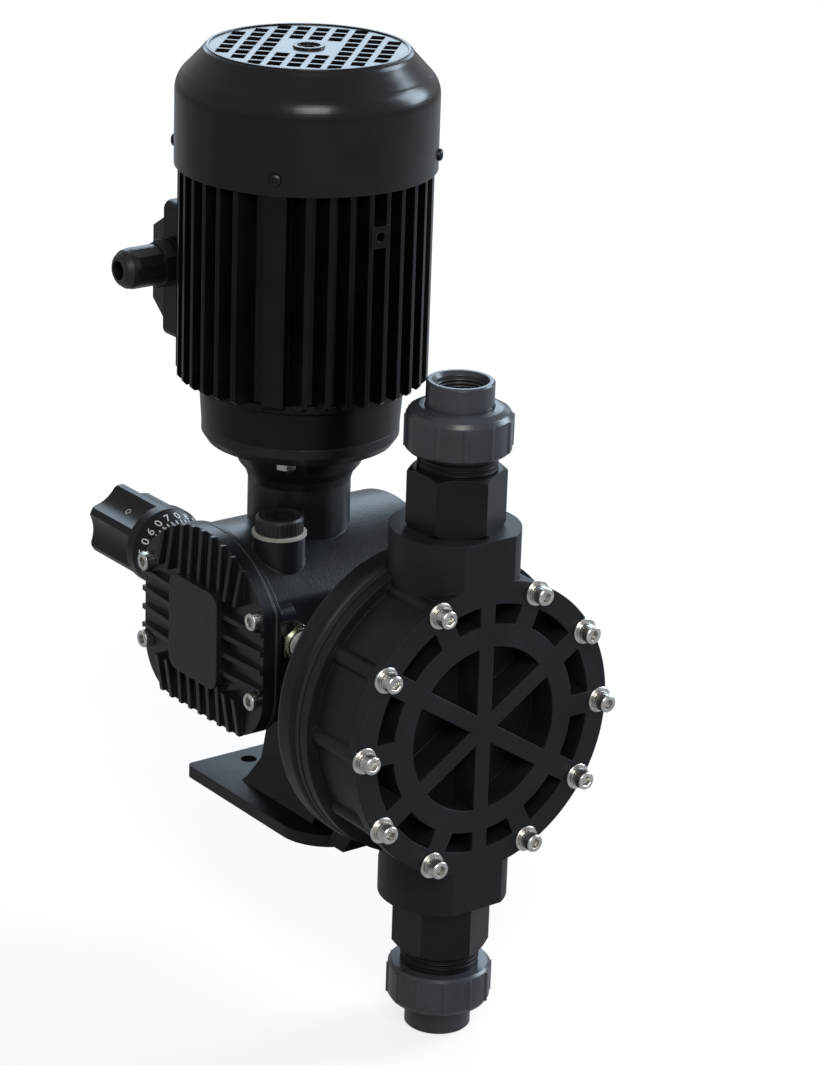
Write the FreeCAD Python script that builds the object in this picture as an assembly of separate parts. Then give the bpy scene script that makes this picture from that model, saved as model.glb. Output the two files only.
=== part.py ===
import FreeCAD, Part
import math
import os

# Motor-driven diaphragm dosing pump. Millimetres, +Z up.
# Origin: centre of the foot's bolt pattern, on the underside of the foot.
# -Y is the pump head, +Y the stroke knob, -X the ribbed gearbox cover.

V = FreeCAD.Vector
X_AXIS = V(1, 0, 0)
Y_AXIS = V(0, 1, 0)
Z_AXIS = V(0, 0, 1)

# Clearances between separate pieces
RUN_GAP = 0.05
FIT_GAP = 0.05
SAFE_GAP = 0.3

# Foot and pedestal of the bracket
FOOT_HALF_WIDTH = 57.5
FOOT_REAR_Y = 63.0
FOOT_FRONT_Y = -63.5
FOOT_THICK = 7.0
FOOT_FRONT_CORNER_R = 30.0
FOOT_REAR_CORNER_R = 4.0
FOOT_HOLE_R = 4.5
FOOT_HOLE_SPACING_X = 48.0
FOOT_HOLE_SPACING_Y = 100.0
BOLT_POCKET_R = 9.0
BOLT_POCKET_HEIGHT = 24.0
CORE_HALF_WIDTH = 22.0
CORE_LENGTH = 45.0
PEDESTAL_REAR_Y = 17.5
PEDESTAL_TOP_HALF = 33.0
PEDESTAL_FLARE = 13.0

# Head axis and the stack of pieces along it, from the diaphragm rim outwards
HEAD_AXIS_Z = 87.0
RIM_Y = -83.0
DIAPHRAGM_RIM = 3.0
HEAD_DEPTH = 47.5
HEAD_FLANGE_THICK = 7.0
HEAD_PANEL_DEPTH = 3.2
HEAD_FACE_RIM = 7.0
DISC_R = 86.5
DISC_THICK = 18.0
HEAD_FLANGE_R = DISC_R - 1.5
HEAD_R = HEAD_FLANGE_R - 3.0
DISC_EDGE_R = 5.0
CHAMBER_R = 60.0
CHAMBER_DEPTH = 12.0
RECESS_RIM = 4.0
BACK_RECESS = 12.5
RECESS_FLOOR_R = 35.0
BUSH_WEB_THICK = 15.0
LANTERN_R = 36.0
LANTERN_BORE_R = 29.3
DIAPHRAGM_DISH = 8.0
DIAPHRAGM_CENTRE_R = 30.0

# Open ribs of the head face
POCKET_DEPTH = 18.0
OUTER_POCKET_R = HEAD_R - 12.5
RING_OUTER_R = OUTER_POCKET_R - 11.0
RING_INNER_R = RING_OUTER_R - 12.5
BOLT_SPOKE_WIDTH = 12.0
PLAIN_SPOKE_WIDTH = 9.4

# Head bolts: five a side, symmetric about the port line
BOLT_CIRCLE_R = HEAD_R - 4.6
BOLT_ANGLES = (24.0, 57.0, 90.0, 123.0, 156.0)
M6_R = 3.0
M6_HEAD_R = 5.0
M6_HEAD = 6.0
M6_HEX_FLATS = 10.0
M6_HEX_HEAD = 4.0
WASHER_R = 7.2
WASHER_THICK = 1.4
SPRING_WASHER_R = 5.3
SPRING_WASHER_THICK = 1.5
BOLT_BOSS_R = 5.0
BOLT_GRIP_IN_DISC = 12.0

# Ports, measured outwards from the head axis
PORT_INSET = 16.5
BOSS_R = 35.0
BOSS_END = 105.0
BOSS_BORE_R = 19.0
VALVE_FLATS = 46.0
VALVE_END = 137.0
VALVE_INNER_END = 88.0
NECK_R = 21.0
NECK_END = 150.0
CHANNEL_R = 9.0
BALL_R = 8.0
SEAT_BORE_R = 6.0
SEAT_THICK = 6.0
BALL_LIFT = 3.0
GUIDE_R = 8.4
DISCHARGE_SEAT_END = 94.0
SUCTION_SEAT_START = 113.0
NUT_START = 147.0
NUT_SIDE_END = 166.0
NUT_END = 171.0
NUT_R = 28.0
NUT_RIB_COUNT = 12
O_RING_WIRE_R = 1.0
COLLAR_THICK = 6.0
TAIL_R = 18.0
TAIL_BORE_R = 13.2
TAIL_MOUTH_R = 15.2
SEAT_R = TAIL_BORE_R + 1.0
COLLAR_R = TAIL_R + 2.0
O_RING_R = (COLLAR_R + TAIL_BORE_R) / 2
TAIL_END = 184.5

# Gearbox
MOTOR_Y = 40.5
GEARBOX_MID_Z = 97.5
COVER_HALF_WIDTH = 59.0
BODY_STEP = 5.0
CROWN_R = 72.0
CROWN_DROP = 14.0
GEARBOX_BELOW = 50.5
BOTTOM_CORNER_R = 28.0
TOP_CORNER_R = 9.0
JOINT_X = -53.5
FAR_END_X = 64.0
BODY_WALL = 8.0
BODY_RIM = 2.5
SCREW_LUG_R = 5.5
SCREW_LUG_LENGTH = 12.0
PEDESTAL_BOLT_X = 16.0
PEDESTAL_BOLT_Y = (-5.0, 4.0)
GASKET_THICK = 1.0
COVER_FLANGE = 7.8
COVER_PAD = 7.0
COVER_SCREW_HALF_Y = 53.7
COVER_SCREW_HALF_Z = 23.2
FIN_THICK = 3.0
FIN_PITCH = 9.6
SIDE_FIN_PITCH = 11.0
CORNER_FIN_START = 27.0
FIN_INNER_HEIGHT = 6.0
FIN_OUTER_HEIGHT = 2.0
PAD_HALF_WIDTH = 24.0
PAD_HALF_HEIGHT = 28.0
PAD_CORNER_R = 8.0

# Filler plug, sight glass and drain plug
FILLER_X = -32.8
FILLER_Y = 11.4
FILLER_SEAT_Z = 157.0
FILLER_BOSS_R = 14.2
FILLER_GASKET_R = 15.0
FILLER_GASKET = 1.8
FILLER_CAP_R = 13.0
FILLER_CAP = 9.0
FILLER_THREAD_R = 8.0
GLASS_X = -39.0
GLASS_Z = 104.5
GLASS_THREAD_R = 8.5
GLASS_FLATS = 20.0
GLASS_HEX = 6.0
GLASS_DOME_R = 7.6
DRAIN_X = -38.0
DRAIN_Z = 61.0
DRAIN_THREAD_R = 5.0
DRAIN_FLATS = 14.0
DRAIN_HEX = 6.0

# Motor
NECK_TUBE_R = 28.5
NECK_FLARE_Z = 176.0
FRAME_CORE_R = 58.0
MOTOR_FLANGE_R = FRAME_CORE_R - 3.5
MOTOR_FLANGE_Z = 200.5
MOTOR_JOINT_Z = 209.0
FLANGE_EDGE_R = 3.0
FLANGE_BOLT_CIRCLE_R = MOTOR_FLANGE_R - 12.0
FRAME_BOTTOM_Z = 235.0
FRAME_LENGTH = 121.0
FRAME_TOP_Z = FRAME_BOTTOM_Z + FRAME_LENGTH
SHIELD_TOP_R = FRAME_CORE_R - 1.0
FRAME_BORE_R = FRAME_CORE_R - 5.5
FRAME_FIN_R = FRAME_CORE_R + 11.0
FIN_END = 2.0
FRAME_BOSS_DROP = 24.0
FRAME_FIN_PITCH = 10.8
FRAME_FIN_THICK = 2.8
FRONT_FIN_COUNT = 8
SIDE_FIN_COUNT = 6
FRAME_PAD_ANGLE = 48.0
FRAME_PAD_WIDTH = 12.0
COWL_R = FRAME_FIN_R + 2.0
COWL_WALL = 1.8
COWL_BOTTOM_Z = FRAME_TOP_Z - 3.0
COWL_SHOULDER_Z = FRAME_TOP_Z + 37.0
COWL_TOP_Z = FRAME_TOP_Z + 60.5
COWL_TOP_R = COWL_R - 15.5
COWL_SHOULDER_R = 16.0
COWL_LIP = 0.7
COWL_SCREW_Z = FRAME_TOP_Z + 6.0
SLOT_PITCH = 10.6
SLOT_LONG = 8.4
SLOT_WIDE = 7.2
SLOT_FIELD_R = COWL_TOP_R - 7.5
HUB_FIELD_R = 17.0
GRILLE_TURN = 45.0
GRILLE_BOSS_R = 8.5
GRILLE_HOLE_R = 3.2
END_SHIELD_THICK = 10.0
STATOR_HALF = (FRAME_TOP_Z - FRAME_BOTTOM_Z) / 2 - 18.5
STATOR_MID_Z = (FRAME_TOP_Z + FRAME_BOTTOM_Z) / 2 - 0.5
ROTOR_R = FRAME_BORE_R - 21.5
AIR_GAP = 0.5
WINDING_LENGTH = 13.0
SHAFT_R = 7.5
FAN_Z = FRAME_TOP_Z + 18.0
FAN_R = FRAME_CORE_R - 4.0
FAN_HUB_R = 13.0
FAN_BLADE_COUNT = 8
FAN_BLADE_HEIGHT = 20.0
BEARING_OUTER_R = 17.5
BEARING_WIDTH = 11.0

# Terminal box
BOX_HALF_X = 33.0
BOX_BOTTOM_Z = FRAME_BOTTOM_Z + 3.0
BOX_TOP_Z = FRAME_TOP_Z - 40.0
BOX_REAR_GAP = FRAME_CORE_R + 6.0
BOX_DEPTH = 22.0
BOX_WALL = 3.0
LID_DEPTH = 17.5
LID_TAPER_X = 2.5
LID_TAPER_Z = 18.0
LID_SCREW_INSET = 6.0
GLAND_Z = BOX_BOTTOM_Z + 46.0
GLAND_BORE_R = 5.5
GLAND_BOSS = 5.0
GLAND_FLATS = 24.0
GLAND_HEX = 8.0
GLAND_NUT_R = 11.5
GLAND_NUT = 24.0

# Gear train
WHEEL_Y = 14.5
GEAR_MODULE = 1.5
WHEEL_TEETH = 24
WHEEL_WIDTH = 9.0
WORM_TIP_R = 9.2
WORM_ROOT_R = 6.2
WORM_HALF_LENGTH = 9.0
WORM_PHASE = 300.0
TOOTH_DEPTH_CLEARANCE = 0.8
WHEEL_HUB_R = 12.5
WHEEL_SHAFT_R = 8.5
WHEEL_JOURNAL_R = 7.5
CAM_R = 14.0
CAM_THROW = 3.0
CAM_INNER_X = 10.5
CAM_THICK = 7.0
STROKE = 6.0
SMALL_BEARING_R = 14.0
SMALL_BEARING_WIDTH = 8.0

# Yoke, push rod and diaphragm
YOKE_BAR = 5.0
YOKE_BAR_X = 18.5
YOKE_FRONT_THICK = 8.0
YOKE_LOW = 10.0
YOKE_BAR_LOW = 10.0
YOKE_BAR_HEIGHT = 6.0
ROD_R = 8.0
BUSH_R = 12.0
SPRING_WIRE_R = 1.5
SPRING_COIL_R = 13.5
SPRING_COILS = 5
PLATE_R = 30.0
PLATE_THICK = 4.0
SEAL_THICK = 4.0

# Stroke adjuster
ADJUSTER_Z = HEAD_AXIS_Z + 3.7
ADJUSTER_R = 20.0
ADJUSTER_FLANGE_R = 27.0
ADJUSTER_FLANGE = 7.0
ADJUSTER_BODY_END_Y = 135.0
ADJUSTER_NECK_R = 12.0
ADJUSTER_NECK_END_Y = 206.0
SPINDLE_R = 6.0
SPINDLE_END_Y = 204.0
KNOB_NEAR_Y = 158.0
KNOB_LENGTH = 68.0
KNOB_R = 23.7
KNOB_DIAL_LENGTH = 15.0
KNOB_DIAL_NEAR_R = 17.5
KNOB_BAND = 8.0
KNOB_FLUTES = 6
KNOB_FLUTE_FLOOR_R = KNOB_R - 4.9
KNOB_FLUTE_R = 20.0
KNOB_TURN = 32.7
KNOB_SCREW_Y = KNOB_NEAR_Y + 43.0
KNOB_SCREW_R = 2.5
DIAL_REST = 0.65

# Places that follow from the sizes above
HEAD_BACK_Y = RIM_Y - DIAPHRAGM_RIM
HEAD_FRONT_Y = HEAD_BACK_Y - HEAD_DEPTH
PORT_Y = HEAD_BACK_Y - PORT_INSET
DISC_BACK_Y = RIM_Y + DISC_THICK
WEB_FRONT_Y = RIM_Y + BACK_RECESS
PLATE_Y = RIM_Y + DIAPHRAGM_DISH
WEB_BACK_Y = WEB_FRONT_Y + BUSH_WEB_THICK
BODY_HALF_WIDTH = COVER_HALF_WIDTH - BODY_STEP
BODY_FRONT_Y = MOTOR_Y - BODY_HALF_WIDTH
BODY_REAR_Y = MOTOR_Y + BODY_HALF_WIDTH
BODY_BOTTOM_Z = GEARBOX_MID_Z - GEARBOX_BELOW + BODY_STEP / 2
FLOOR_Z = BODY_BOTTOM_Z + BODY_WALL
BOLT_SEAT_Z = MOTOR_FLANGE_Z - 2.0
COVER_X = JOINT_X - GASKET_THICK
COVER_FACE_X = COVER_X - COVER_FLANGE
FAR_WALL_X = FAR_END_X - BODY_WALL
CENTRE_DISTANCE = MOTOR_Y - WHEEL_Y
WHEEL_ROOT_R = CENTRE_DISTANCE - WORM_TIP_R - TOOTH_DEPTH_CLEARANCE
WHEEL_TIP_R = CENTRE_DISTANCE - WORM_ROOT_R - 0.6
CAM_SWEEP_R = CAM_R + CAM_THROW
YOKE_PAD_Y = WHEEL_Y - CAM_SWEEP_R - SAFE_GAP
YOKE_FRONT_Y = YOKE_PAD_Y - YOKE_FRONT_THICK
YOKE_REAR_Y = MOTOR_Y + WORM_TIP_R + STROKE + 1.0
YOKE_END_Y = YOKE_REAR_Y + YOKE_FRONT_THICK
SPINDLE_TIP_Y = YOKE_END_Y + SAFE_GAP + DIAL_REST * STROKE
BOX_BACK_Y = MOTOR_Y + BOX_REAR_GAP
BOX_FACE_Y = BOX_BACK_Y + BOX_DEPTH
GLAND_Y = BOX_BACK_Y + BOX_DEPTH / 2 + 2.0


def along_x(r, x0, x1, y, z):
    return Part.makeCylinder(r, x1 - x0, V(x0, y, z), X_AXIS)


def along_y(r, y0, y1, x, z):
    return Part.makeCylinder(r, y1 - y0, V(x, y0, z), Y_AXIS)


def along_z(r, z0, z1, x, y):
    return Part.makeCylinder(r, z1 - z0, V(x, y, z0), Z_AXIS)


def block(x0, x1, y0, y1, z0, z1):
    return Part.makeBox(x1 - x0, y1 - y0, z1 - z0, V(x0, y0, z0))


def fuse_all(shapes):
    return shapes[0].multiFuse(shapes[1:]).removeSplitter()


def polygon_face(points):
    return Part.Face(Part.makePolygon(points + [points[0]]))


def turned_z(profile, x, y):
    """Solid of revolution about an upright axis; profile holds (radius, z) pairs."""
    face = polygon_face([V(x + r, y, z) for r, z in profile])
    return face.revolve(V(x, y, 0), Z_AXIS, 360)


def turned_y(profile, x, z):
    """Solid of revolution about an axis along Y; profile holds (radius, y) pairs."""
    face = polygon_face([V(x + r, y, z) for r, y in profile])
    return face.revolve(V(x, 0, z), Y_AXIS, 360)


def hexagon(flats, centre, axis, length, turn=0.0):
    """Hexagonal prism of a width across flats, starting at centre along axis."""
    corner = flats / math.sqrt(3.0)
    side = V(0, 0, 1) if abs(axis.z) < 0.5 else V(1, 0, 0)
    other = axis.cross(side)
    points = []
    for i in range(6):
        a = math.radians(turn + 60 * i)
        points.append(centre + side * (corner * math.cos(a)) + other * (corner * math.sin(a)))
    return polygon_face(points).extrude(axis * length)


def fillet_edges(shape, radius, chosen):
    edges = [e for e in shape.Edges if chosen(e)]
    return shape.makeFillet(radius, edges) if edges else shape


def is_along(edge, axis):
    if not isinstance(edge.Curve, Part.Line):
        return False
    return abs(edge.Curve.Direction.dot(axis)) > 0.999


def head_point(angle, radius, y):
    """Point at an angle from the top of the head, seen from the front."""
    a = math.radians(angle)
    return V(radius * math.sin(a), y, HEAD_AXIS_Z + radius * math.cos(a))


def head_bolt_places():
    return [s * a for a in BOLT_ANGLES for s in (1, -1)]


# Bracket


def foot_plate():
    plate = block(-FOOT_HALF_WIDTH, FOOT_HALF_WIDTH, FOOT_FRONT_Y, FOOT_REAR_Y, 0, FOOT_THICK)
    plate = fillet_edges(plate, FOOT_FRONT_CORNER_R, lambda e: is_along(e, Z_AXIS) and e.CenterOfMass.y < 0)
    return fillet_edges(plate, FOOT_REAR_CORNER_R, lambda e: is_along(e, Z_AXIS) and e.CenterOfMass.y > 0)


def pedestal_section(z, share):
    """Rectangle of the pedestal; share runs from 1 at the foot to 0 at the gearbox."""
    half = PEDESTAL_TOP_HALF + PEDESTAL_FLARE * share
    front = DISC_BACK_Y - DISC_THICK / 2
    rear = PEDESTAL_REAR_Y + PEDESTAL_FLARE * share
    return Part.makePolygon([V(-half, front, z), V(half, front, z), V(half, rear, z),
                             V(-half, rear, z), V(-half, front, z)])


def pedestal():
    rise = BODY_BOTTOM_Z - FOOT_THICK / 2
    sections = []
    for step in (0.0, 0.15, 0.4, 1.0):
        sections.append(pedestal_section(FOOT_THICK / 2 + rise * step, (1 - step) ** 3))
    return Part.makeLoft(sections, True, True)


def foot_hole_places():
    return [(sx * FOOT_HOLE_SPACING_X / 2, sy * FOOT_HOLE_SPACING_Y / 2) for sx in (1, -1) for sy in (1, -1)]


def front_bolt_pocket(x, y):
    """Room for a bolt head in the side of the pedestal."""
    top = FOOT_THICK + BOLT_POCKET_HEIGHT
    round_end = along_z(BOLT_POCKET_R, FOOT_THICK, top, x, y)
    way_out = block(min(x, 3 * x), max(x, 3 * x), y - BOLT_POCKET_R, y + BOLT_POCKET_R, FOOT_THICK, top)
    return round_end.fuse(way_out)


def pedestal_bolt_places():
    return [(s * PEDESTAL_BOLT_X, y) for s in (1, -1) for y in PEDESTAL_BOLT_Y]


def bracket_disc():
    disc = along_y(DISC_R, RIM_Y, DISC_BACK_Y, 0, HEAD_AXIS_Z)
    return fillet_edges(disc, DISC_EDGE_R, lambda e: isinstance(e.Curve, Part.Circle) and e.Length > 1)


def mounting_bracket():
    lantern = along_y(LANTERN_R, DISC_BACK_Y, BODY_FRONT_Y, 0, HEAD_AXIS_Z)
    body = fuse_all([foot_plate(), pedestal(), bracket_disc(), lantern])
    recess = [(0, RIM_Y), (CHAMBER_R, RIM_Y), (CHAMBER_R, RIM_Y + RECESS_RIM), (RECESS_FLOOR_R, WEB_FRONT_Y),
              (0, WEB_FRONT_Y)]
    core_end = PEDESTAL_REAR_Y - BODY_WALL
    tools = [
        turned_y(recess, 0, HEAD_AXIS_Z),
        block(-CORE_HALF_WIDTH, CORE_HALF_WIDTH, core_end - CORE_LENGTH, core_end, -1,
              BODY_BOTTOM_Z - BODY_WALL),
        along_y(GLASS_FLATS / math.sqrt(3) + 1, BODY_FRONT_Y - 2 * GLASS_HEX - 2, BODY_FRONT_Y, GLASS_X,
                GLASS_Z),
        along_y(LANTERN_BORE_R, WEB_BACK_Y, BODY_FRONT_Y, 0, HEAD_AXIS_Z),
        along_y(BUSH_R + FIT_GAP, WEB_FRONT_Y, WEB_BACK_Y, 0, HEAD_AXIS_Z),
    ]
    for angle in head_bolt_places():
        p = head_point(angle, BOLT_CIRCLE_R, RIM_Y)
        tools.append(along_y(M6_R + FIT_GAP, RIM_Y, RIM_Y + BOLT_GRIP_IN_DISC + 1, p.x, p.z))
    for x, y in foot_hole_places():
        tools.append(along_z(FOOT_HOLE_R, -1, FOOT_THICK + 1, x, y))
        if y < 0:
            tools.append(front_bolt_pocket(x, y))
    for x, y in pedestal_bolt_places():
        tools.append(along_z(M6_R + FIT_GAP, BODY_BOTTOM_Z - BODY_WALL, BODY_BOTTOM_Z, x, y))
    return body.cut(tools)


# Gearbox


def crowned_prism(x0, x1, inset, rise):
    """Prism along X with upright sides set in by inset, and a crown and a bottom set in by rise."""
    half = COVER_HALF_WIDTH - inset
    base = block(x0, x1, MOTOR_Y - half, MOTOR_Y + half, GEARBOX_MID_Z - GEARBOX_BELOW + rise,
                 GEARBOX_MID_Z + CROWN_R)
    crown = along_x(CROWN_R - rise, x0, x1, MOTOR_Y, GEARBOX_MID_Z - CROWN_DROP)
    low = block(x0, x1, MOTOR_Y - half, MOTOR_Y + half, GEARBOX_MID_Z - 2 * CROWN_R, GEARBOX_MID_Z)
    prism = base.common(crown.fuse(low)).removeSplitter()
    prism = fillet_edges(prism, max(BOTTOM_CORNER_R - inset, 2),
                         lambda e: is_along(e, X_AXIS) and e.CenterOfMass.z < GEARBOX_MID_Z - CROWN_DROP)
    return fillet_edges(prism, max(TOP_CORNER_R - inset / 2, 2),
                        lambda e: is_along(e, X_AXIS) and e.CenterOfMass.z > GEARBOX_MID_Z)


def neck_and_flange():
    x, y = 0, MOTOR_Y
    low = GEARBOX_MID_Z + CROWN_R - CROWN_DROP - BODY_STEP / 2 - BODY_WALL - 2
    edge = FLANGE_EDGE_R
    profile = [(0, low), (NECK_TUBE_R, low), (NECK_TUBE_R, NECK_FLARE_Z),
               (NECK_TUBE_R + 1.5, NECK_FLARE_Z + 5), (NECK_TUBE_R + 5.5, NECK_FLARE_Z + 10),
               (NECK_TUBE_R + 9, NECK_FLARE_Z + 18), (MOTOR_FLANGE_R - 3 * edge, MOTOR_FLANGE_Z - edge),
               (MOTOR_FLANGE_R - edge, MOTOR_FLANGE_Z - edge / 2), (MOTOR_FLANGE_R, MOTOR_FLANGE_Z + edge),
               (MOTOR_FLANGE_R, MOTOR_JOINT_Z), (0, MOTOR_JOINT_Z)]
    return turned_z(profile, x, y)


def cover_screw_places():
    return [(MOTOR_Y + sy * COVER_SCREW_HALF_Y, GEARBOX_MID_Z + sz * COVER_SCREW_HALF_Z)
            for sy in (1, -1) for sz in (1, -1)]


def flange_bolt_places():
    reach = FLANGE_BOLT_CIRCLE_R / math.sqrt(2)
    return [(sx * reach, MOTOR_Y + sy * reach) for sx in (1, -1) for sy in (1, -1)]


def gearbox_housing():
    body = crowned_prism(JOINT_X, FAR_END_X, BODY_STEP, BODY_STEP / 2)
    rim = crowned_prism(JOINT_X, JOINT_X + BODY_RIM, 0, 0)
    cavity = crowned_prism(JOINT_X, FAR_WALL_X, BODY_STEP + BODY_WALL, BODY_STEP / 2 + BODY_WALL)
    lugs = [along_x(SCREW_LUG_R, JOINT_X, JOINT_X + SCREW_LUG_LENGTH, y, z) for y, z in cover_screw_places()]
    filler_boss = along_z(FILLER_BOSS_R, GEARBOX_MID_Z + 20, FILLER_SEAT_Z, FILLER_X, FILLER_Y)
    shell = fuse_all([body, rim, neck_and_flange(), filler_boss] + lugs).cut(cavity)
    seats = fuse_all([
        along_x(SMALL_BEARING_R + 5, FAR_WALL_X - SMALL_BEARING_WIDTH, FAR_WALL_X + 1, WHEEL_Y, HEAD_AXIS_Z),
        along_z(SMALL_BEARING_R + 4, FLOOR_Z - 1, FLOOR_Z + SMALL_BEARING_WIDTH, 0, MOTOR_Y)])
    shell = shell.fuse(seats).removeSplitter()
    tools = [
        along_z(BEARING_OUTER_R + FIT_GAP, GEARBOX_MID_Z + CROWN_DROP, MOTOR_JOINT_Z, 0, MOTOR_Y),
        along_z(SMALL_BEARING_R + FIT_GAP, FLOOR_Z, FLOOR_Z + SMALL_BEARING_WIDTH, 0, MOTOR_Y),
        along_x(SMALL_BEARING_R + FIT_GAP, FAR_WALL_X - SMALL_BEARING_WIDTH, FAR_WALL_X, WHEEL_Y,
                HEAD_AXIS_Z),
        along_y(LANTERN_BORE_R, BODY_FRONT_Y, BODY_FRONT_Y + BODY_WALL, 0, HEAD_AXIS_Z),
        along_y(SPINDLE_R + 1, BODY_REAR_Y - BODY_WALL, BODY_REAR_Y, 0, ADJUSTER_Z),
        along_z(FILLER_THREAD_R + FIT_GAP, GEARBOX_MID_Z + 20, FILLER_SEAT_Z, FILLER_X, FILLER_Y),
        along_y(GLASS_THREAD_R + FIT_GAP, BODY_FRONT_Y, BODY_FRONT_Y + BODY_WALL, GLASS_X, GLASS_Z),
        along_y(DRAIN_THREAD_R + FIT_GAP, BODY_FRONT_Y, BODY_FRONT_Y + 2 * BODY_WALL, DRAIN_X, DRAIN_Z),
    ]
    for y, z in cover_screw_places():
        tools.append(along_x(M6_R + FIT_GAP, JOINT_X, JOINT_X + SCREW_LUG_LENGTH - 1, y, z))
    for x, y in flange_bolt_places():
        tools.append(along_z(M6_R + FIT_GAP, BOLT_SEAT_Z, MOTOR_JOINT_Z, x, y))
        tools.append(along_z(M6_HEAD_R + 2, BOLT_SEAT_Z - 3 * M6_HEX_HEAD, BOLT_SEAT_Z, x, y))
    for x, y in pedestal_bolt_places():
        tools.append(along_z(M6_R + FIT_GAP, BODY_BOTTOM_Z, FLOOR_Z - 1, x, y))
    return shell.cut(tools)


def cover_gasket():
    opening = crowned_prism(COVER_X, JOINT_X, BODY_STEP + BODY_WALL, BODY_STEP / 2 + BODY_WALL)
    ring = crowned_prism(COVER_X, JOINT_X, 0, 0).cut(opening)
    return ring.cut([along_x(M6_R + FIT_GAP, COVER_X, JOINT_X, y, z) for y, z in cover_screw_places()])


def crown_height(dy):
    return GEARBOX_MID_Z - CROWN_DROP + math.sqrt(CROWN_R ** 2 - dy ** 2)


def fin_profile(start, end):
    """Heights of one cover fin, deep at the pad and shallow at the rim."""
    face = COVER_FACE_X
    return [(face + 1, start), (face - FIN_INNER_HEIGHT, start), (face - FIN_OUTER_HEIGHT, end),
            (face + 1, end)]


def cover_fins():
    fins = []
    bottom = GEARBOX_MID_Z - GEARBOX_BELOW
    for i in range(-4, 5):
        dy = i * FIN_PITCH
        drop = max(0.0, abs(dy) - (COVER_HALF_WIDTH - BOTTOM_CORNER_R))
        low_end = bottom + BOTTOM_CORNER_R - math.sqrt(BOTTOM_CORNER_R ** 2 - drop ** 2)
        inner = 0 if abs(dy) < PAD_HALF_WIDTH else CORNER_FIN_START
        for start, end in ((GEARBOX_MID_Z + inner, crown_height(dy)), (GEARBOX_MID_Z - inner, low_end)):
            side = MOTOR_Y + dy - FIN_THICK / 2
            points = [V(x, side, z) for x, z in fin_profile(start, end)]
            fins.append(polygon_face(points).extrude(V(0, FIN_THICK, 0)))
    for i in (-1.5, -0.5, 0.5, 1.5):
        z = GEARBOX_MID_Z + i * SIDE_FIN_PITCH - FIN_THICK / 2
        for s in (1, -1):
            points = [V(x, MOTOR_Y + s * y, z) for x, y in fin_profile(0, COVER_HALF_WIDTH)]
            fins.append(polygon_face(points).extrude(V(0, 0, FIN_THICK)))
    return fins


def side_cover():
    flange = crowned_prism(COVER_FACE_X, COVER_X, 0, 0)
    pad = block(COVER_FACE_X - COVER_PAD, COVER_FACE_X, MOTOR_Y - PAD_HALF_WIDTH, MOTOR_Y + PAD_HALF_WIDTH,
                GEARBOX_MID_Z - PAD_HALF_HEIGHT, GEARBOX_MID_Z + PAD_HALF_HEIGHT)
    pad = fillet_edges(pad, PAD_CORNER_R, lambda e: is_along(e, X_AXIS))
    boss = along_x(SMALL_BEARING_R + 5, COVER_X, COVER_X + SMALL_BEARING_WIDTH, WHEEL_Y, HEAD_AXIS_Z)
    body = fuse_all([flange, pad, boss] + cover_fins())
    tools = [along_x(SMALL_BEARING_R + FIT_GAP, COVER_X, COVER_X + SMALL_BEARING_WIDTH, WHEEL_Y,
                     HEAD_AXIS_Z)]
    for y, z in cover_screw_places():
        tools.append(along_x(M6_R + FIT_GAP, COVER_FACE_X, COVER_X, y, z))
        tools.append(along_x(M6_HEAD_R + 1.5, COVER_FACE_X - 2 * COVER_PAD, COVER_FACE_X, y, z))
    return body.cut(tools)


def cap_screw(head_centre, axis, length):
    """Socket cap screw; head_centre is under the head, axis points out of the head."""
    head = Part.makeCylinder(M6_HEAD_R, M6_HEAD, head_centre, axis)
    shank = Part.makeCylinder(M6_R, length, head_centre - axis * length, axis)
    socket = hexagon(M6_R * 5 / 3, head_centre + axis * (M6_HEAD / 2), axis, M6_HEAD)
    return head.fuse(shank).cut(socket)


def hex_bolt(under_head, axis, length):
    """Hexagon bolt; axis points out of the head."""
    head = hexagon(M6_HEX_FLATS, under_head, axis, M6_HEX_HEAD)
    return head.fuse(Part.makeCylinder(M6_R, length, under_head - axis * length, axis))


def cover_screws():
    length = COVER_FLANGE + GASKET_THICK + SCREW_LUG_LENGTH - 2
    return Part.makeCompound([cap_screw(V(COVER_FACE_X, y, z), V(-1, 0, 0), length)
                              for y, z in cover_screw_places()])


def pedestal_bolts():
    under = BODY_BOTTOM_Z - BODY_WALL
    return Part.makeCompound([hex_bolt(V(x, y, under), V(0, 0, -1), 2 * BODY_WALL - 2)
                              for x, y in pedestal_bolt_places()])


def flange_bolts():
    under = BOLT_SEAT_Z
    length = MOTOR_JOINT_Z - under + 6
    return Part.makeCompound([hex_bolt(V(x, y, under), V(0, 0, -1), length) for x,
                              y in flange_bolt_places()])


def filler_gasket():
    ring = along_z(FILLER_GASKET_R, FILLER_SEAT_Z, FILLER_SEAT_Z + FILLER_GASKET, FILLER_X, FILLER_Y)
    return ring.cut(along_z(FILLER_THREAD_R + FIT_GAP, FILLER_SEAT_Z, FILLER_SEAT_Z + FILLER_GASKET,
                            FILLER_X, FILLER_Y))


def filler_plug():
    seat = FILLER_SEAT_Z + FILLER_GASKET
    cap = along_z(FILLER_CAP_R, seat, seat + FILLER_CAP, FILLER_X, FILLER_Y)
    cap = cap.makeChamfer(1.2, [e for e in cap.Edges if e.CenterOfMass.z > seat + 1 and e.Length > 20
                                and isinstance(e.Curve, Part.Circle)])
    grip = hexagon(2 * FILLER_THREAD_R, V(FILLER_X, FILLER_Y, seat + FILLER_CAP - 4), Z_AXIS, FILLER_CAP)
    thread = along_z(FILLER_THREAD_R, FILLER_SEAT_Z - 12, seat, FILLER_X, FILLER_Y)
    return cap.cut(grip).fuse(thread)


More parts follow.
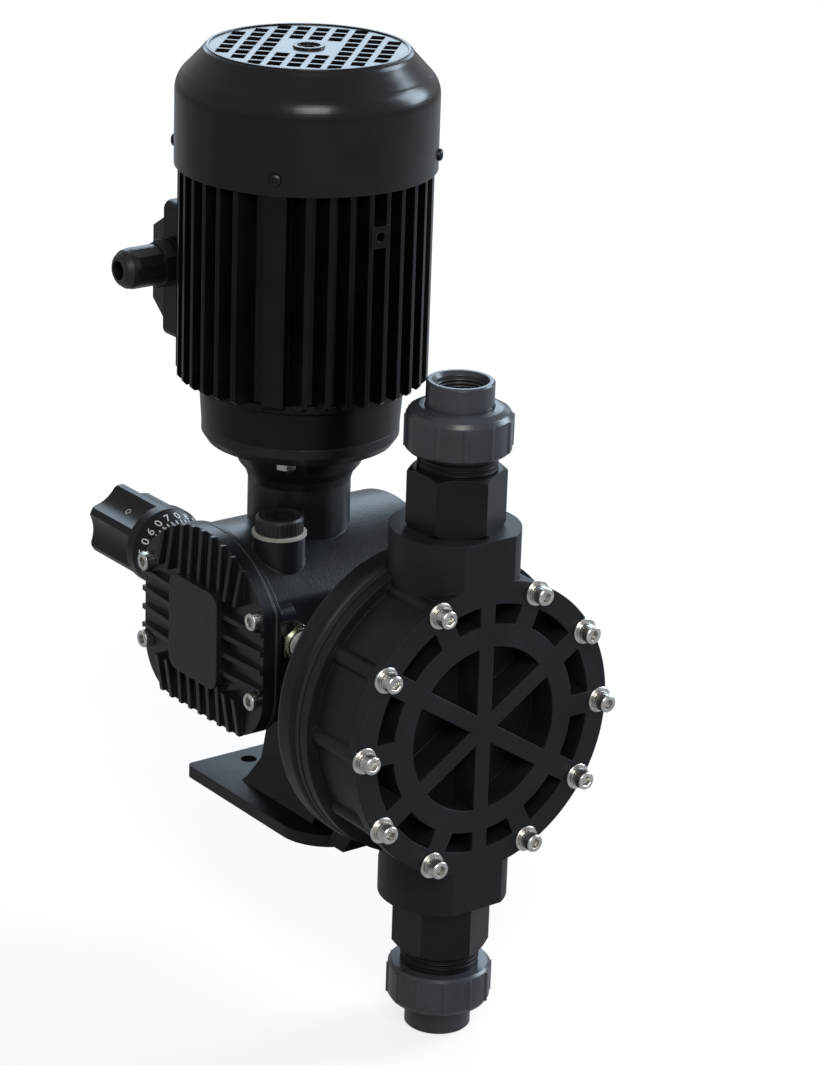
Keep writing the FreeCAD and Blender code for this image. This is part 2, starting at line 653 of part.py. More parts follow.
def sight_glass_body():
    face = BODY_FRONT_Y
    hexa = hexagon(GLASS_FLATS, V(GLASS_X, face, GLASS_Z), V(0, -1, 0), GLASS_HEX)
    thread = along_y(GLASS_THREAD_R, face, face + BODY_WALL, GLASS_X, GLASS_Z)
    window = along_y(GLASS_THREAD_R - 2.5, face - GLASS_HEX, face + BODY_WALL, GLASS_X, GLASS_Z)
    rim = along_y(GLASS_DOME_R + 1.2, face - GLASS_HEX - 1.5, face - GLASS_HEX, GLASS_X, GLASS_Z)
    seat = along_y(GLASS_DOME_R, face - GLASS_HEX - 2, face - GLASS_HEX + 1.5, GLASS_X, GLASS_Z)
    return fuse_all([hexa, thread, rim]).cut([window, seat])


def sight_glass_lens():
    seat = BODY_FRONT_Y - GLASS_HEX + 1.5
    r = GLASS_DOME_R - FIT_GAP
    profile = [(0, seat), (r, seat), (r, seat - 3), (r * 0.87, seat - 4.2), (r * 0.6, seat - 5.3),
               (r * 0.3, seat - 5.9), (0, seat - 6.1)]
    return turned_y(profile, GLASS_X, GLASS_Z)


def drain_plug():
    head = hexagon(DRAIN_FLATS, V(DRAIN_X, BODY_FRONT_Y, DRAIN_Z), V(0, -1, 0), DRAIN_HEX)
    return head.fuse(along_y(DRAIN_THREAD_R, BODY_FRONT_Y, BODY_FRONT_Y + BODY_WALL, DRAIN_X, DRAIN_Z))


# Motor


def drive_end_shield():
    r = MOTOR_FLANGE_R
    z = MOTOR_JOINT_Z
    top = FRAME_BOTTOM_Z
    outer = [(0, z), (r, z), (SHIELD_TOP_R - 1, top - 6), (SHIELD_TOP_R + 3, top - 4),
             (SHIELD_TOP_R + 3, top), (0, top)]
    body = turned_z(outer, 0, MOTOR_Y)
    inner_r = FRAME_BORE_R - 6
    hollow = along_z(inner_r, z + BEARING_WIDTH + 5, top, 0, MOTOR_Y)
    seat = along_z(BEARING_OUTER_R + FIT_GAP, z, z + BEARING_WIDTH + 5, 0, MOTOR_Y)
    holes = [along_z(M6_R + FIT_GAP, z, z + 8, x, y) for x, y in flange_bolt_places()]
    return body.cut([hollow, seat] + holes)


def fin_offsets(count):
    return [(i - (count - 1) / 2) * FRAME_FIN_PITCH for i in range(count)]


def frame_pad(angle):
    z0, z1 = FRAME_BOTTOM_Z, FRAME_TOP_Z
    pad = block(-FRAME_PAD_WIDTH / 2, FRAME_PAD_WIDTH / 2, -FRAME_FIN_R, -FRAME_CORE_R + 4, z0, z1)
    pad.rotate(V(0, 0, 0), Z_AXIS, angle)
    pad.translate(V(0, MOTOR_Y, 0))
    return pad


def motor_frame():
    z0, z1 = FRAME_BOTTOM_Z, FRAME_TOP_Z
    core = along_z(FRAME_CORE_R, z0, z1, 0, MOTOR_Y)
    t = FRAME_FIN_THICK / 2
    reach = FRAME_FIN_R
    fins = []
    for x in fin_offsets(FRONT_FIN_COUNT):
        fins.append(block(x - t, x + t, MOTOR_Y - reach, MOTOR_Y + reach, z0, z1))
    for y in fin_offsets(SIDE_FIN_COUNT):
        fins.append(block(-reach, reach, MOTOR_Y + y - t, MOTOR_Y + y + t, z0, z1))
    envelope = turned_z([(0, z0), (reach - FIN_END, z0), (reach, z0 + FIN_END), (reach, z1), (0, z1)],
                        0, MOTOR_Y)
    fins += [frame_pad(s * FRAME_PAD_ANGLE + turn) for s in (1, -1) for turn in (0, 180)]
    finned = Part.makeCompound(fins).common(envelope)
    box_seat = block(-BOX_HALF_X, BOX_HALF_X, MOTOR_Y, BOX_BACK_Y, BOX_BOTTOM_Z, BOX_TOP_Z)
    boss_z = COWL_BOTTOM_Z - FRAME_BOSS_DROP
    boss = block(-6, 6, MOTOR_Y - reach - 0.6, MOTOR_Y - FRAME_CORE_R + 2, boss_z - 6, boss_z + 6)
    room = block(-BOX_HALF_X - SAFE_GAP, BOX_HALF_X + SAFE_GAP, BOX_BACK_Y, BOX_FACE_Y,
                 BOX_BOTTOM_Z - SAFE_GAP, BOX_TOP_Z + SAFE_GAP)
    body = fuse_all([core] + finned.Solids + [box_seat, boss]).cut(room)
    bore = along_z(FRAME_BORE_R, z0, z1, 0, MOTOR_Y)
    tap = along_y(2.5, MOTOR_Y - reach - 1, MOTOR_Y - reach + 6, 0, boss_z)
    wires = along_y(8, MOTOR_Y + FRAME_BORE_R - 4, BOX_BACK_Y, 0, BOX_BOTTOM_Z + 25)
    return body.cut([bore, tap, wires])


def fan_end_shield():
    z0 = FRAME_TOP_Z
    disc = along_z(FRAME_CORE_R, z0, z0 + END_SHIELD_THICK, 0, MOTOR_Y)
    hub = along_z(BEARING_OUTER_R + 5, z0 - 8, z0 + END_SHIELD_THICK, 0, MOTOR_Y)
    lugs = []
    inner = COWL_R - COWL_WALL - FIT_GAP
    for s in (1, -1):
        for turn in (0, 180):
            lug = block(-7, 7, -inner, -FRAME_CORE_R + 4, z0, z0 + END_SHIELD_THICK)
            lug.rotate(V(0, 0, 0), Z_AXIS, s * FRAME_PAD_ANGLE + turn)
            lug.translate(V(0, MOTOR_Y, 0))
            lugs.append(lug)
    limit = along_z(inner, z0, z0 + END_SHIELD_THICK, 0, MOTOR_Y)
    lugs = [lug.common(limit) for lug in lugs]
    body = fuse_all([disc, hub] + lugs)
    seat = along_z(BEARING_OUTER_R + FIT_GAP, z0 - 8, z0 - 8 + BEARING_WIDTH, 0, MOTOR_Y)
    hole = along_z(SHAFT_R + 1, z0 - 8, z0 + END_SHIELD_THICK, 0, MOTOR_Y)
    screws = [cowl_screw_rod(angle, M6_R / 2 + FIT_GAP, COWL_R - 12) for angle in cowl_screw_angles()]
    return body.cut([seat, hole] + screws)


def cowl_screw_angles():
    return [s * FRAME_PAD_ANGLE + turn for s in (1, -1) for turn in (0, 180)]


def cowl_screw_rod(angle, radius, start):
    rod = Part.makeCylinder(radius, COWL_R - start, V(0, -start, COWL_SCREW_Z), V(0, -1, 0))
    rod.rotate(V(0, 0, 0), Z_AXIS, angle)
    rod.translate(V(0, MOTOR_Y, 0))
    return rod


def grille_slots():
    """Slots in rows and columns over the cowl's flat top, leaving the hub plain."""
    slots = []
    for i in range(-4, 5):
        for j in range(-4, 5):
            x, y = i * SLOT_PITCH, j * SLOT_PITCH
            r = math.hypot(x, y)
            if r > SLOT_FIELD_R or r < HUB_FIELD_R:
                continue
            slots.append(block(x - SLOT_LONG / 2, x + SLOT_LONG / 2, y - SLOT_WIDE / 2, y + SLOT_WIDE / 2,
                               COWL_TOP_Z - 6, COWL_TOP_Z + 1))
    group = Part.makeCompound(slots)
    group.rotate(V(0, 0, 0), Z_AXIS, GRILLE_TURN)
    group.translate(V(0, MOTOR_Y, 0))
    return group.Solids


def cowl_profile(inset):
    """Half section of the cowl from its open end over the round shoulder to the rim of its flat top."""
    r, top_r, z = COWL_R - inset, COWL_TOP_R - inset / 2, COWL_SHOULDER_Z
    bend = COWL_SHOULDER_R - inset
    profile = [(r, COWL_BOTTOM_Z)]
    for step in range(10):
        a = math.radians(5.5 * step)
        profile.append((r - bend * (1 - math.cos(a)), z + bend * math.sin(a)))
    top = COWL_TOP_Z - inset
    return profile + [(top_r + 1.8, top - 2.6), (top_r + 0.6, top - 0.9), (top_r - 0.8, top)]


def fan_cowl():
    outer = [(0, COWL_BOTTOM_Z)] + cowl_profile(0) + [(0, COWL_TOP_Z)]
    inner = [(0, COWL_BOTTOM_Z)] + cowl_profile(COWL_WALL) + [(0, COWL_TOP_Z - COWL_WALL)]
    shell = turned_z(outer, 0, MOTOR_Y).cut(turned_z(inner, 0, MOTOR_Y))
    lip = along_z(COWL_TOP_R - 1.0, COWL_TOP_Z - 0.5, COWL_TOP_Z + COWL_LIP, 0, MOTOR_Y)
    lip = lip.cut(along_z(COWL_TOP_R - 2.6, COWL_TOP_Z - 1, COWL_TOP_Z + 2, 0, MOTOR_Y))
    ring = along_z(GRILLE_BOSS_R, COWL_TOP_Z - 0.5, COWL_TOP_Z + 1.2, 0, MOTOR_Y)
    ring = ring.cut(along_z(GRILLE_BOSS_R - 2.2, COWL_TOP_Z - 1, COWL_TOP_Z + 2, 0, MOTOR_Y))
    shell = fuse_all([shell, lip, ring])
    hub = along_z(GRILLE_HOLE_R, COWL_TOP_Z - 6, COWL_TOP_Z + 2, 0, MOTOR_Y)
    screws = [cowl_screw_rod(angle, M6_R / 2 + FIT_GAP, COWL_R - 4) for angle in cowl_screw_angles()]
    return shell.cut(grille_slots() + [hub] + screws)


def cowl_screws():
    screws = []
    for angle in cowl_screw_angles():
        shank = Part.makeCylinder(M6_R / 2, 9, V(0, -COWL_R + 9, COWL_SCREW_Z), V(0, -1, 0))
        head = Part.makeCylinder(3.4, 2.4, V(0, -COWL_R, COWL_SCREW_Z), V(0, -1, 0))
        head = head.makeFillet(1.2, [e for e in head.Edges if e.CenterOfMass.y < -COWL_R - 1
                                     and isinstance(e.Curve, Part.Circle)])
        screw = shank.fuse(head)
        screw.rotate(V(0, 0, 0), Z_AXIS, angle)
        screw.translate(V(0, MOTOR_Y, 0))
        screws.append(screw)
    return Part.makeCompound(screws)


def stator_core():
    z0, z1 = STATOR_MID_Z - STATOR_HALF, STATOR_MID_Z + STATOR_HALF
    ring = along_z(FRAME_BORE_R - FIT_GAP, z0, z1, 0, MOTOR_Y)
    return ring.cut(along_z(ROTOR_R + AIR_GAP, z0, z1, 0, MOTOR_Y))


def stator_windings():
    rings = []
    for z0 in (STATOR_MID_Z - STATOR_HALF - WINDING_LENGTH, STATOR_MID_Z + STATOR_HALF):
        ring = along_z(FRAME_BORE_R - 5, z0, z0 + WINDING_LENGTH, 0, MOTOR_Y)
        rings.append(ring.cut(along_z(ROTOR_R + 3, z0, z0 + WINDING_LENGTH, 0, MOTOR_Y)))
    return Part.makeCompound(rings)


def bearing_ring(r_out, r_in, z0, width):
    ring = along_z(r_out, z0, z0 + width, 0, MOTOR_Y)
    return ring.cut(along_z(r_in, z0, z0 + width, 0, MOTOR_Y))


def motor_bearings():
    low = bearing_ring(BEARING_OUTER_R, SHAFT_R + RUN_GAP, MOTOR_JOINT_Z + 5, BEARING_WIDTH)
    high = bearing_ring(BEARING_OUTER_R, SHAFT_R + RUN_GAP, FRAME_TOP_Z - 8, BEARING_WIDTH)
    return Part.makeCompound([low, high])


def rotor_core():
    z0, z1 = STATOR_MID_Z - STATOR_HALF, STATOR_MID_Z + STATOR_HALF
    core = along_z(ROTOR_R, z0, z1, 0, MOTOR_Y)
    rings = [along_z(ROTOR_R - 3, z0 - 8, z0, 0, MOTOR_Y), along_z(ROTOR_R - 3, z1, z1 + 8, 0, MOTOR_Y)]
    return fuse_all([core] + rings).cut(along_z(SHAFT_R + FIT_GAP, z0 - 8, z1 + 8, 0, MOTOR_Y))


def motor_shaft():
    low = NECK_FLARE_Z
    return along_z(SHAFT_R, low, FAN_Z + FAN_BLADE_HEIGHT + 4, 0, MOTOR_Y)


def cooling_fan():
    z0 = FAN_Z
    hub = along_z(FAN_HUB_R, z0, z0 + FAN_BLADE_HEIGHT, 0, MOTOR_Y)
    plate = along_z(FAN_R, z0, z0 + 2, 0, MOTOR_Y)
    blades = []
    for i in range(FAN_BLADE_COUNT):
        blade = block(FAN_HUB_R - 1, FAN_R - 1, -1, 1, z0, z0 + FAN_BLADE_HEIGHT)
        blade.rotate(V(0, 0, 0), Z_AXIS, 360 / FAN_BLADE_COUNT * i)
        blade.translate(V(0, MOTOR_Y, 0))
        blades.append(blade)
    fan = fuse_all([hub, plate] + blades)
    return fan.cut(along_z(SHAFT_R + FIT_GAP, z0, z0 + FAN_BLADE_HEIGHT, 0, MOTOR_Y))


def worm_thread():
    """Single-start trapezoidal thread swept along a helix."""
    pitch = math.pi * GEAR_MODULE
    z0 = HEAD_AXIS_Z - WORM_HALF_LENGTH
    helix = Part.makeHelix(pitch, 2 * WORM_HALF_LENGTH, WORM_ROOT_R)
    root, tip = 0.95, 0.45
    r0, r1 = WORM_ROOT_R - 0.4, WORM_TIP_R
    profile = Part.makePolygon([V(r0, 0, -root), V(r1, 0, -tip), V(r1, 0, tip), V(r0, 0, root),
                                V(r0, 0, -root)])
    thread = Part.Wire(helix).makePipeShell([profile], True, True)
    thread.rotate(V(0, 0, 0), Z_AXIS, WORM_PHASE)
    thread.translate(V(0, MOTOR_Y, z0))
    return thread


def worm_shaft():
    top = MOTOR_JOINT_Z - 4
    shaft = fuse_all([
        along_z(WORM_ROOT_R, FLOOR_Z + 0.5, HEAD_AXIS_Z + 2 * WORM_HALF_LENGTH, 0, MOTOR_Y),
        along_z(WORM_ROOT_R + 1.5, HEAD_AXIS_Z + 1.6 * WORM_HALF_LENGTH, GEARBOX_MID_Z + CROWN_R - 20, 0,
                MOTOR_Y),
        along_z(SHAFT_R + 4, GEARBOX_MID_Z + CROWN_R - 20, top, 0, MOTOR_Y)])
    shaft = shaft.fuse(worm_thread())
    return shaft.cut(along_z(SHAFT_R + FIT_GAP, NECK_FLARE_Z, top, 0, MOTOR_Y))


def worm_bearings():
    low = bearing_ring(SMALL_BEARING_R, WORM_ROOT_R + RUN_GAP, FLOOR_Z, SMALL_BEARING_WIDTH)
    z = GEARBOX_MID_Z + CROWN_R - 12
    high = bearing_ring(BEARING_OUTER_R, SHAFT_R + 4 + RUN_GAP, z, BEARING_WIDTH)
    return Part.makeCompound([low, high])


def shaft_seal():
    z = MOTOR_JOINT_Z - 14
    return bearing_ring(BEARING_OUTER_R, SHAFT_R + 4 + RUN_GAP, z, 6)


# Terminal box


def terminal_box():
    body = block(-BOX_HALF_X, BOX_HALF_X, BOX_BACK_Y, BOX_FACE_Y, BOX_BOTTOM_Z, BOX_TOP_Z)
    body = fillet_edges(body, 5, lambda e: is_along(e, Y_AXIS))
    boss = along_x(GLAND_FLATS / 2 + 2, -BOX_HALF_X - GLAND_BOSS, -BOX_HALF_X + 2, GLAND_Y, GLAND_Z)
    boss = boss.common(block(-2 * BOX_HALF_X, 0, BOX_BACK_Y, BOX_FACE_Y, BOX_BOTTOM_Z, BOX_TOP_Z))
    room = block(-BOX_HALF_X + BOX_WALL, BOX_HALF_X - BOX_WALL, BOX_BACK_Y + BOX_WALL, BOX_FACE_Y + 1,
                 BOX_BOTTOM_Z + BOX_WALL, BOX_TOP_Z - BOX_WALL)
    corners = [block(sx * (BOX_HALF_X - 6) - 6, sx * (BOX_HALF_X - 6) + 6, BOX_BACK_Y, BOX_FACE_Y,
                     z - 6, z + 6) for sx in (1, -1) for z in (BOX_BOTTOM_Z + 6, BOX_TOP_Z - 6)]
    room = room.cut(corners)
    entry = along_x(GLAND_NUT_R - 3.5 + FIT_GAP, -BOX_HALF_X - GLAND_BOSS, -BOX_HALF_X + BOX_WALL + 1,
                    GLAND_Y, GLAND_Z)
    wires = along_y(8, BOX_BACK_Y, BOX_BACK_Y + BOX_WALL, 0, BOX_BOTTOM_Z + 25)
    holes = [along_y(M6_R / 2 + FIT_GAP, BOX_FACE_Y - 12, BOX_FACE_Y, x, z) for x, z in lid_screw_places()]
    return body.fuse(boss).cut([room, entry, wires] + holes)


def lid_screw_places():
    x = BOX_HALF_X - LID_SCREW_INSET
    return [(s * x, z) for s in (1, -1) for z in (BOX_BOTTOM_Z + LID_SCREW_INSET,
                                                  BOX_TOP_Z - LID_SCREW_INSET)]


def lid_section(y, tx, tz):
    x, z0, z1 = BOX_HALF_X - tx, BOX_BOTTOM_Z + tz, BOX_TOP_Z - tz
    return Part.makePolygon([V(-x, y, z0), V(x, y, z0), V(x, y, z1), V(-x, y, z1), V(-x, y, z0)])


def terminal_box_lid():
    flange = block(-BOX_HALF_X, BOX_HALF_X, BOX_FACE_Y, BOX_FACE_Y + 3, BOX_BOTTOM_Z, BOX_TOP_Z)
    flange = fillet_edges(flange, 5, lambda e: is_along(e, Y_AXIS))
    inner = 9.0
    raised = Part.makeLoft([lid_section(BOX_FACE_Y + 2, 0.5, inner),
                            lid_section(BOX_FACE_Y + LID_DEPTH, LID_TAPER_X,
                                                                                  LID_TAPER_Z)], True, True)
    lid = flange.fuse(raised)
    tools = []
    for x, z in lid_screw_places():
        tools.append(along_y(M6_R / 2 + FIT_GAP, BOX_FACE_Y, BOX_FACE_Y + LID_DEPTH, x, z))
        tools.append(along_y(4.2, BOX_FACE_Y + 3, BOX_FACE_Y + LID_DEPTH, x, z))
    room = block(-BOX_HALF_X + 7, BOX_HALF_X - 7, BOX_FACE_Y, BOX_FACE_Y + LID_DEPTH - 3,
                 BOX_BOTTOM_Z + LID_TAPER_Z + 3, BOX_TOP_Z - LID_TAPER_Z - 3)
    return lid.cut(tools + [room])


def lid_screws():
    screws = []
    for x, z in lid_screw_places():
        head = along_y(3.6, BOX_FACE_Y + 3, BOX_FACE_Y + 5.6, x, z)
        slot = block(x - 4, x + 4, BOX_FACE_Y + 4.6, BOX_FACE_Y + 6, z - 0.5, z + 0.5)
        screws.append(head.cut(slot).fuse(along_y(M6_R / 2, BOX_FACE_Y - 9, BOX_FACE_Y + 3, x, z)))
    return Part.makeCompound(screws)


def terminal_block():
    y0 = BOX_BACK_Y + BOX_WALL
    z = (BOX_BOTTOM_Z + BOX_TOP_Z) / 2 + 6
    base = block(-18, 18, y0, y0 + 6, z - 13, z + 13)
    posts = [along_y(2.2, y0 + 6, y0 + 13, x, zz) for x in (-11, 0, 11) for zz in (z - 7, z + 7)]
    return fuse_all([base] + posts)


def gland_body():
    x = -BOX_HALF_X - GLAND_BOSS
    hexa = hexagon(GLAND_FLATS, V(x, GLAND_Y, GLAND_Z), V(-1, 0, 0), GLAND_HEX)
    inner = along_x(GLAND_NUT_R - 3.5, x, x + 10, GLAND_Y, GLAND_Z)
    outer = along_x(GLAND_NUT_R - 3, x - GLAND_HEX - 9, x - GLAND_HEX, GLAND_Y, GLAND_Z)
    return fuse_all([hexa, inner, outer]).cut(along_x(GLAND_BORE_R, x - GLAND_HEX - 9, x + 10, GLAND_Y,
                                                      GLAND_Z))


def gland_nut():
    x1 = -BOX_HALF_X - GLAND_BOSS - GLAND_HEX
    x0 = x1 - GLAND_NUT
    r = GLAND_NUT_R
    face = polygon_face([V(x1, GLAND_Y, GLAND_Z), V(x1, GLAND_Y + r, GLAND_Z),
                         V(x0 + 8, GLAND_Y + r, GLAND_Z),
                         V(x0 + 4, GLAND_Y + r - 0.8, GLAND_Z), V(x0 + 1.2, GLAND_Y + r - 2.8, GLAND_Z),
                         V(x0, GLAND_Y + r - 4.5, GLAND_Z), V(x0, GLAND_Y, GLAND_Z)])
    nut = face.revolve(V(0, GLAND_Y, GLAND_Z), X_AXIS, 360)
    facets = hexagon(2 * r - 0.8, V(x1, GLAND_Y, GLAND_Z), V(-1, 0, 0), GLAND_NUT)
    nut = nut.common(facets)
    thread = along_x(GLAND_NUT_R - 3 + FIT_GAP, x1 - 9.2, x1, GLAND_Y, GLAND_Z)
    return nut.cut([thread, along_x(GLAND_BORE_R, x0, x1, GLAND_Y, GLAND_Z)])


# Gear train and drive


def worm_wheel():
    """Bronze wheel with straight trapezoidal gashes, thinned for backlash against the worm's lead."""
    w = WHEEL_WIDTH / 2
    wheel = along_x(WHEEL_TIP_R, -w, w, WHEEL_Y, HEAD_AXIS_Z)
    hub = along_x(WHEEL_HUB_R, -w - 1, w + 1, WHEEL_Y, HEAD_AXIS_Z)
    gashes = []
    root_half, tip_half = 1.0, 2.0
    for i in range(WHEEL_TEETH):
        r0, r1 = WHEEL_ROOT_R, WHEEL_TIP_R + 1
        gash = polygon_face([V(-w - 1, r0, -root_half), V(-w - 1, r1, -tip_half), V(-w - 1, r1, tip_half),
                             V(-w - 1, r0, root_half)]).extrude(V(2 * w + 2, 0, 0))
        gash.rotate(V(0, 0, 0), X_AXIS, 360 / WHEEL_TEETH * i)
        gash.translate(V(0, WHEEL_Y, HEAD_AXIS_Z))
        gashes.append(gash)
    wheel = wheel.cut(gashes).fuse(hub)
    return wheel.cut(along_x(WHEEL_SHAFT_R + FIT_GAP, -w - 1, w + 1, WHEEL_Y, HEAD_AXIS_Z))


def eccentric_shaft():
    end = CAM_INNER_X + CAM_THICK + 3
    x0 = COVER_X + 0.5
    x1 = FAR_WALL_X - 0.5
    return fuse_all([along_x(WHEEL_JOURNAL_R, x0, x1, WHEEL_Y, HEAD_AXIS_Z),
                     along_x(WHEEL_SHAFT_R, -end, end, WHEEL_Y, HEAD_AXIS_Z)])


def eccentric_cams():
    cams = []
    for x0 in (CAM_INNER_X, -CAM_INNER_X - CAM_THICK):
        cam = along_x(CAM_R, x0, x0 + CAM_THICK, WHEEL_Y + CAM_THROW, HEAD_AXIS_Z)
        cams.append(cam.cut(along_x(WHEEL_SHAFT_R + FIT_GAP, x0, x0 + CAM_THICK, WHEEL_Y, HEAD_AXIS_Z)))
    return Part.makeCompound(cams)


def wheel_bearings():
    rings = []
    for x0 in (COVER_X, FAR_WALL_X - SMALL_BEARING_WIDTH):
        ring = along_x(SMALL_BEARING_R, x0, x0 + SMALL_BEARING_WIDTH, WHEEL_Y, HEAD_AXIS_Z)
        rings.append(ring.cut(along_x(WHEEL_JOURNAL_R + RUN_GAP, x0, x0 + SMALL_BEARING_WIDTH,
                                      WHEEL_Y, HEAD_AXIS_Z)))
    return Part.makeCompound(rings)


def drive_yoke():
    """Frame round the worm and wheel: cam pads in front, stop bar behind, push rod ahead."""
    out = YOKE_BAR_X + YOKE_BAR
    low, high = HEAD_AXIS_Z + YOKE_BAR_LOW, HEAD_AXIS_Z + YOKE_BAR_LOW + YOKE_BAR_HEIGHT
    front = block(-out, out, YOKE_FRONT_Y, YOKE_PAD_Y, HEAD_AXIS_Z - YOKE_LOW, high)
    rear = block(-out, out, YOKE_REAR_Y, YOKE_END_Y, ADJUSTER_Z - SPINDLE_R, high)
    bars = [block(x, x + YOKE_BAR, YOKE_PAD_Y - 1, YOKE_REAR_Y + 1, low, high) for x in (YOKE_BAR_X, -out)]
    rod = along_y(ROD_R, PLATE_Y, YOKE_FRONT_Y + 1, 0, HEAD_AXIS_Z)
    wheel_room = along_x(WHEEL_TIP_R + 2 * SAFE_GAP, -WHEEL_WIDTH / 2 - 1, WHEEL_WIDTH / 2 + 1, WHEEL_Y,
                         HEAD_AXIS_Z)
    return fuse_all([front, rear, rod] + bars).cut(wheel_room)


def rod_bush():
    bush = along_y(BUSH_R, WEB_FRONT_Y + SEAL_THICK, WEB_BACK_Y, 0, HEAD_AXIS_Z)
    return bush.cut(along_y(ROD_R + RUN_GAP, WEB_FRONT_Y, WEB_BACK_Y, 0, HEAD_AXIS_Z))


def rod_seal():
    seal = along_y(BUSH_R, WEB_FRONT_Y, WEB_FRONT_Y + SEAL_THICK, 0, HEAD_AXIS_Z)
    return seal.cut(along_y(ROD_R + RUN_GAP, WEB_FRONT_Y, WEB_FRONT_Y + SEAL_THICK, 0, HEAD_AXIS_Z))


def return_spring():
    """Compression spring between the bush web and the yoke."""
    y0 = WEB_BACK_Y + SPRING_WIRE_R
    length = YOKE_FRONT_Y - SPRING_WIRE_R - y0
    helix = Part.makeHelix(length / SPRING_COILS, length, SPRING_COIL_R)
    wire = Part.Wire(helix)
    section = Part.Wire(Part.makeCircle(SPRING_WIRE_R, V(SPRING_COIL_R, 0, 0), V(0, 1, 0)))
    spring = wire.makePipeShell([section], True, True)
    spring.rotate(V(0, 0, 0), X_AXIS, -90)
    spring.translate(V(0, y0, HEAD_AXIS_Z))
    return spring


def diaphragm_plate():
    plate = along_y(PLATE_R, PLATE_Y, PLATE_Y + PLATE_THICK, 0, HEAD_AXIS_Z)
    return plate.cut(along_y(ROD_R + FIT_GAP, PLATE_Y, PLATE_Y + PLATE_THICK, 0, HEAD_AXIS_Z))


def diaphragm():
    """Elastomer disc, clamped at the rim and dished back in the middle."""
    front, back = HEAD_BACK_Y, RIM_Y
    dish, middle, clamp = DIAPHRAGM_DISH, DIAPHRAGM_CENTRE_R, CHAMBER_R - 2
    profile = [(0, front + dish), (middle, front + dish), (clamp, front), (DISC_R - 1, front),
               (DISC_R - 1, back),
               (clamp, back), (middle, back + dish), (0, back + dish)]
    body = turned_y(profile, 0, HEAD_AXIS_Z)
    holes = []
    for angle in head_bolt_places():
        p = head_point(angle, BOLT_CIRCLE_R, 0)
        holes.append(along_y(M6_R + FIT_GAP, front, back, p.x, p.z))
    return body.cut(holes)


# Pump head and ports


def spokes(inner, outer, angles, width, y0, y1):
    bars = []
    for angle in angles:
        bar = block(-width / 2, width / 2, y0, y1, inner, outer)
        bar.rotate(V(0, 0, 0), Y_AXIS, angle)
        bar.translate(V(0, 0, HEAD_AXIS_Z))
        bars.append(bar)
    return bars


def face_pockets():
    """Openings of the ribbed face, the spokes and rings left standing between them."""
    y0, y1 = HEAD_FRONT_Y, HEAD_FRONT_Y + POCKET_DEPTH
    ring = along_y(OUTER_POCKET_R, y0, y1, 0, HEAD_AXIS_Z).cut(along_y(RING_OUTER_R, y0, y1, 0, HEAD_AXIS_Z))
    outer = spokes(RING_INNER_R, OUTER_POCKET_R + 5, head_bolt_places(), BOLT_SPOKE_WIDTH, y0, y1)
    outer += spokes(RING_INNER_R, OUTER_POCKET_R + 5, (0, 180), PLAIN_SPOKE_WIDTH, y0, y1)
    core = along_y(RING_INNER_R, y0, y1, 0, HEAD_AXIS_Z)
    inner = spokes(0, RING_INNER_R + 2, (0, 180, 57, -57, 123, -123), PLAIN_SPOKE_WIDTH, y0, y1)
    return ring.cut(outer).Solids + core.cut(inner).Solids


def port_boss(side):
    boss = along_z(BOSS_R, 0, BOSS_END, 0, PORT_Y)
    ahead = block(-2 * BOSS_R, 2 * BOSS_R, HEAD_FRONT_Y, PORT_Y + BOSS_R, 0, BOSS_END)
    behind = block(-2 * BOSS_R, 2 * BOSS_R, HEAD_BACK_Y, PORT_Y + BOSS_R, 0, DISC_R + SAFE_GAP)
    boss = boss.common(ahead).cut(behind)
    if side < 0:
        boss.rotate(V(0, PORT_Y, 0), Y_AXIS, 180)
    boss.translate(V(0, 0, HEAD_AXIS_Z))
    return boss


def head_bolt_bosses():
    solids = []
    for angle in head_bolt_places():
        p = head_point(angle, BOLT_CIRCLE_R, 0)
        solids.append(along_y(BOLT_BOSS_R, HEAD_FRONT_Y, HEAD_BACK_Y, p.x, p.z))
    return solids


def pump_head():
    panel_r = HEAD_R - HEAD_PANEL_DEPTH
    parts = [along_y(panel_r, HEAD_FRONT_Y, HEAD_BACK_Y, 0, HEAD_AXIS_Z),
             along_y(HEAD_R, HEAD_FRONT_Y, HEAD_FRONT_Y + HEAD_FACE_RIM, 0, HEAD_AXIS_Z),
             along_y(HEAD_FLANGE_R, HEAD_BACK_Y - HEAD_FLANGE_THICK, HEAD_BACK_Y, 0, HEAD_AXIS_Z),
             port_boss(1), port_boss(-1)] + head_bolt_bosses()
    body = fuse_all(parts)
    tools = face_pockets()
    tools.append(along_y(CHAMBER_R, HEAD_BACK_Y - CHAMBER_DEPTH, HEAD_BACK_Y, 0, HEAD_AXIS_Z))
    for s in (1, -1):
        a, b = sorted((HEAD_AXIS_Z + s * (CHAMBER_R - 20), HEAD_AXIS_Z + s * BOSS_END))
        tools.append(along_z(CHANNEL_R, a, b, 0, PORT_Y))
        a, b = sorted((HEAD_AXIS_Z + s * VALVE_INNER_END, HEAD_AXIS_Z + s * BOSS_END))
        tools.append(along_z(BOSS_BORE_R + FIT_GAP, a, b, 0, PORT_Y))
    for angle in head_bolt_places():
        p = head_point(angle, BOLT_CIRCLE_R, 0)
        tools.append(along_y(M6_R + SAFE_GAP, HEAD_FRONT_Y, HEAD_BACK_Y, p.x, p.z))
    return body.cut(tools)


def head_bolts():
    under = HEAD_FRONT_Y - WASHER_THICK - SPRING_WASHER_THICK
    length = RIM_Y + BOLT_GRIP_IN_DISC - under
    bolts = []
    for angle in head_bolt_places():
        p = head_point(angle, BOLT_CIRCLE_R, under)
        bolts.append(cap_screw(p, V(0, -1, 0), length))
    return Part.makeCompound(bolts)


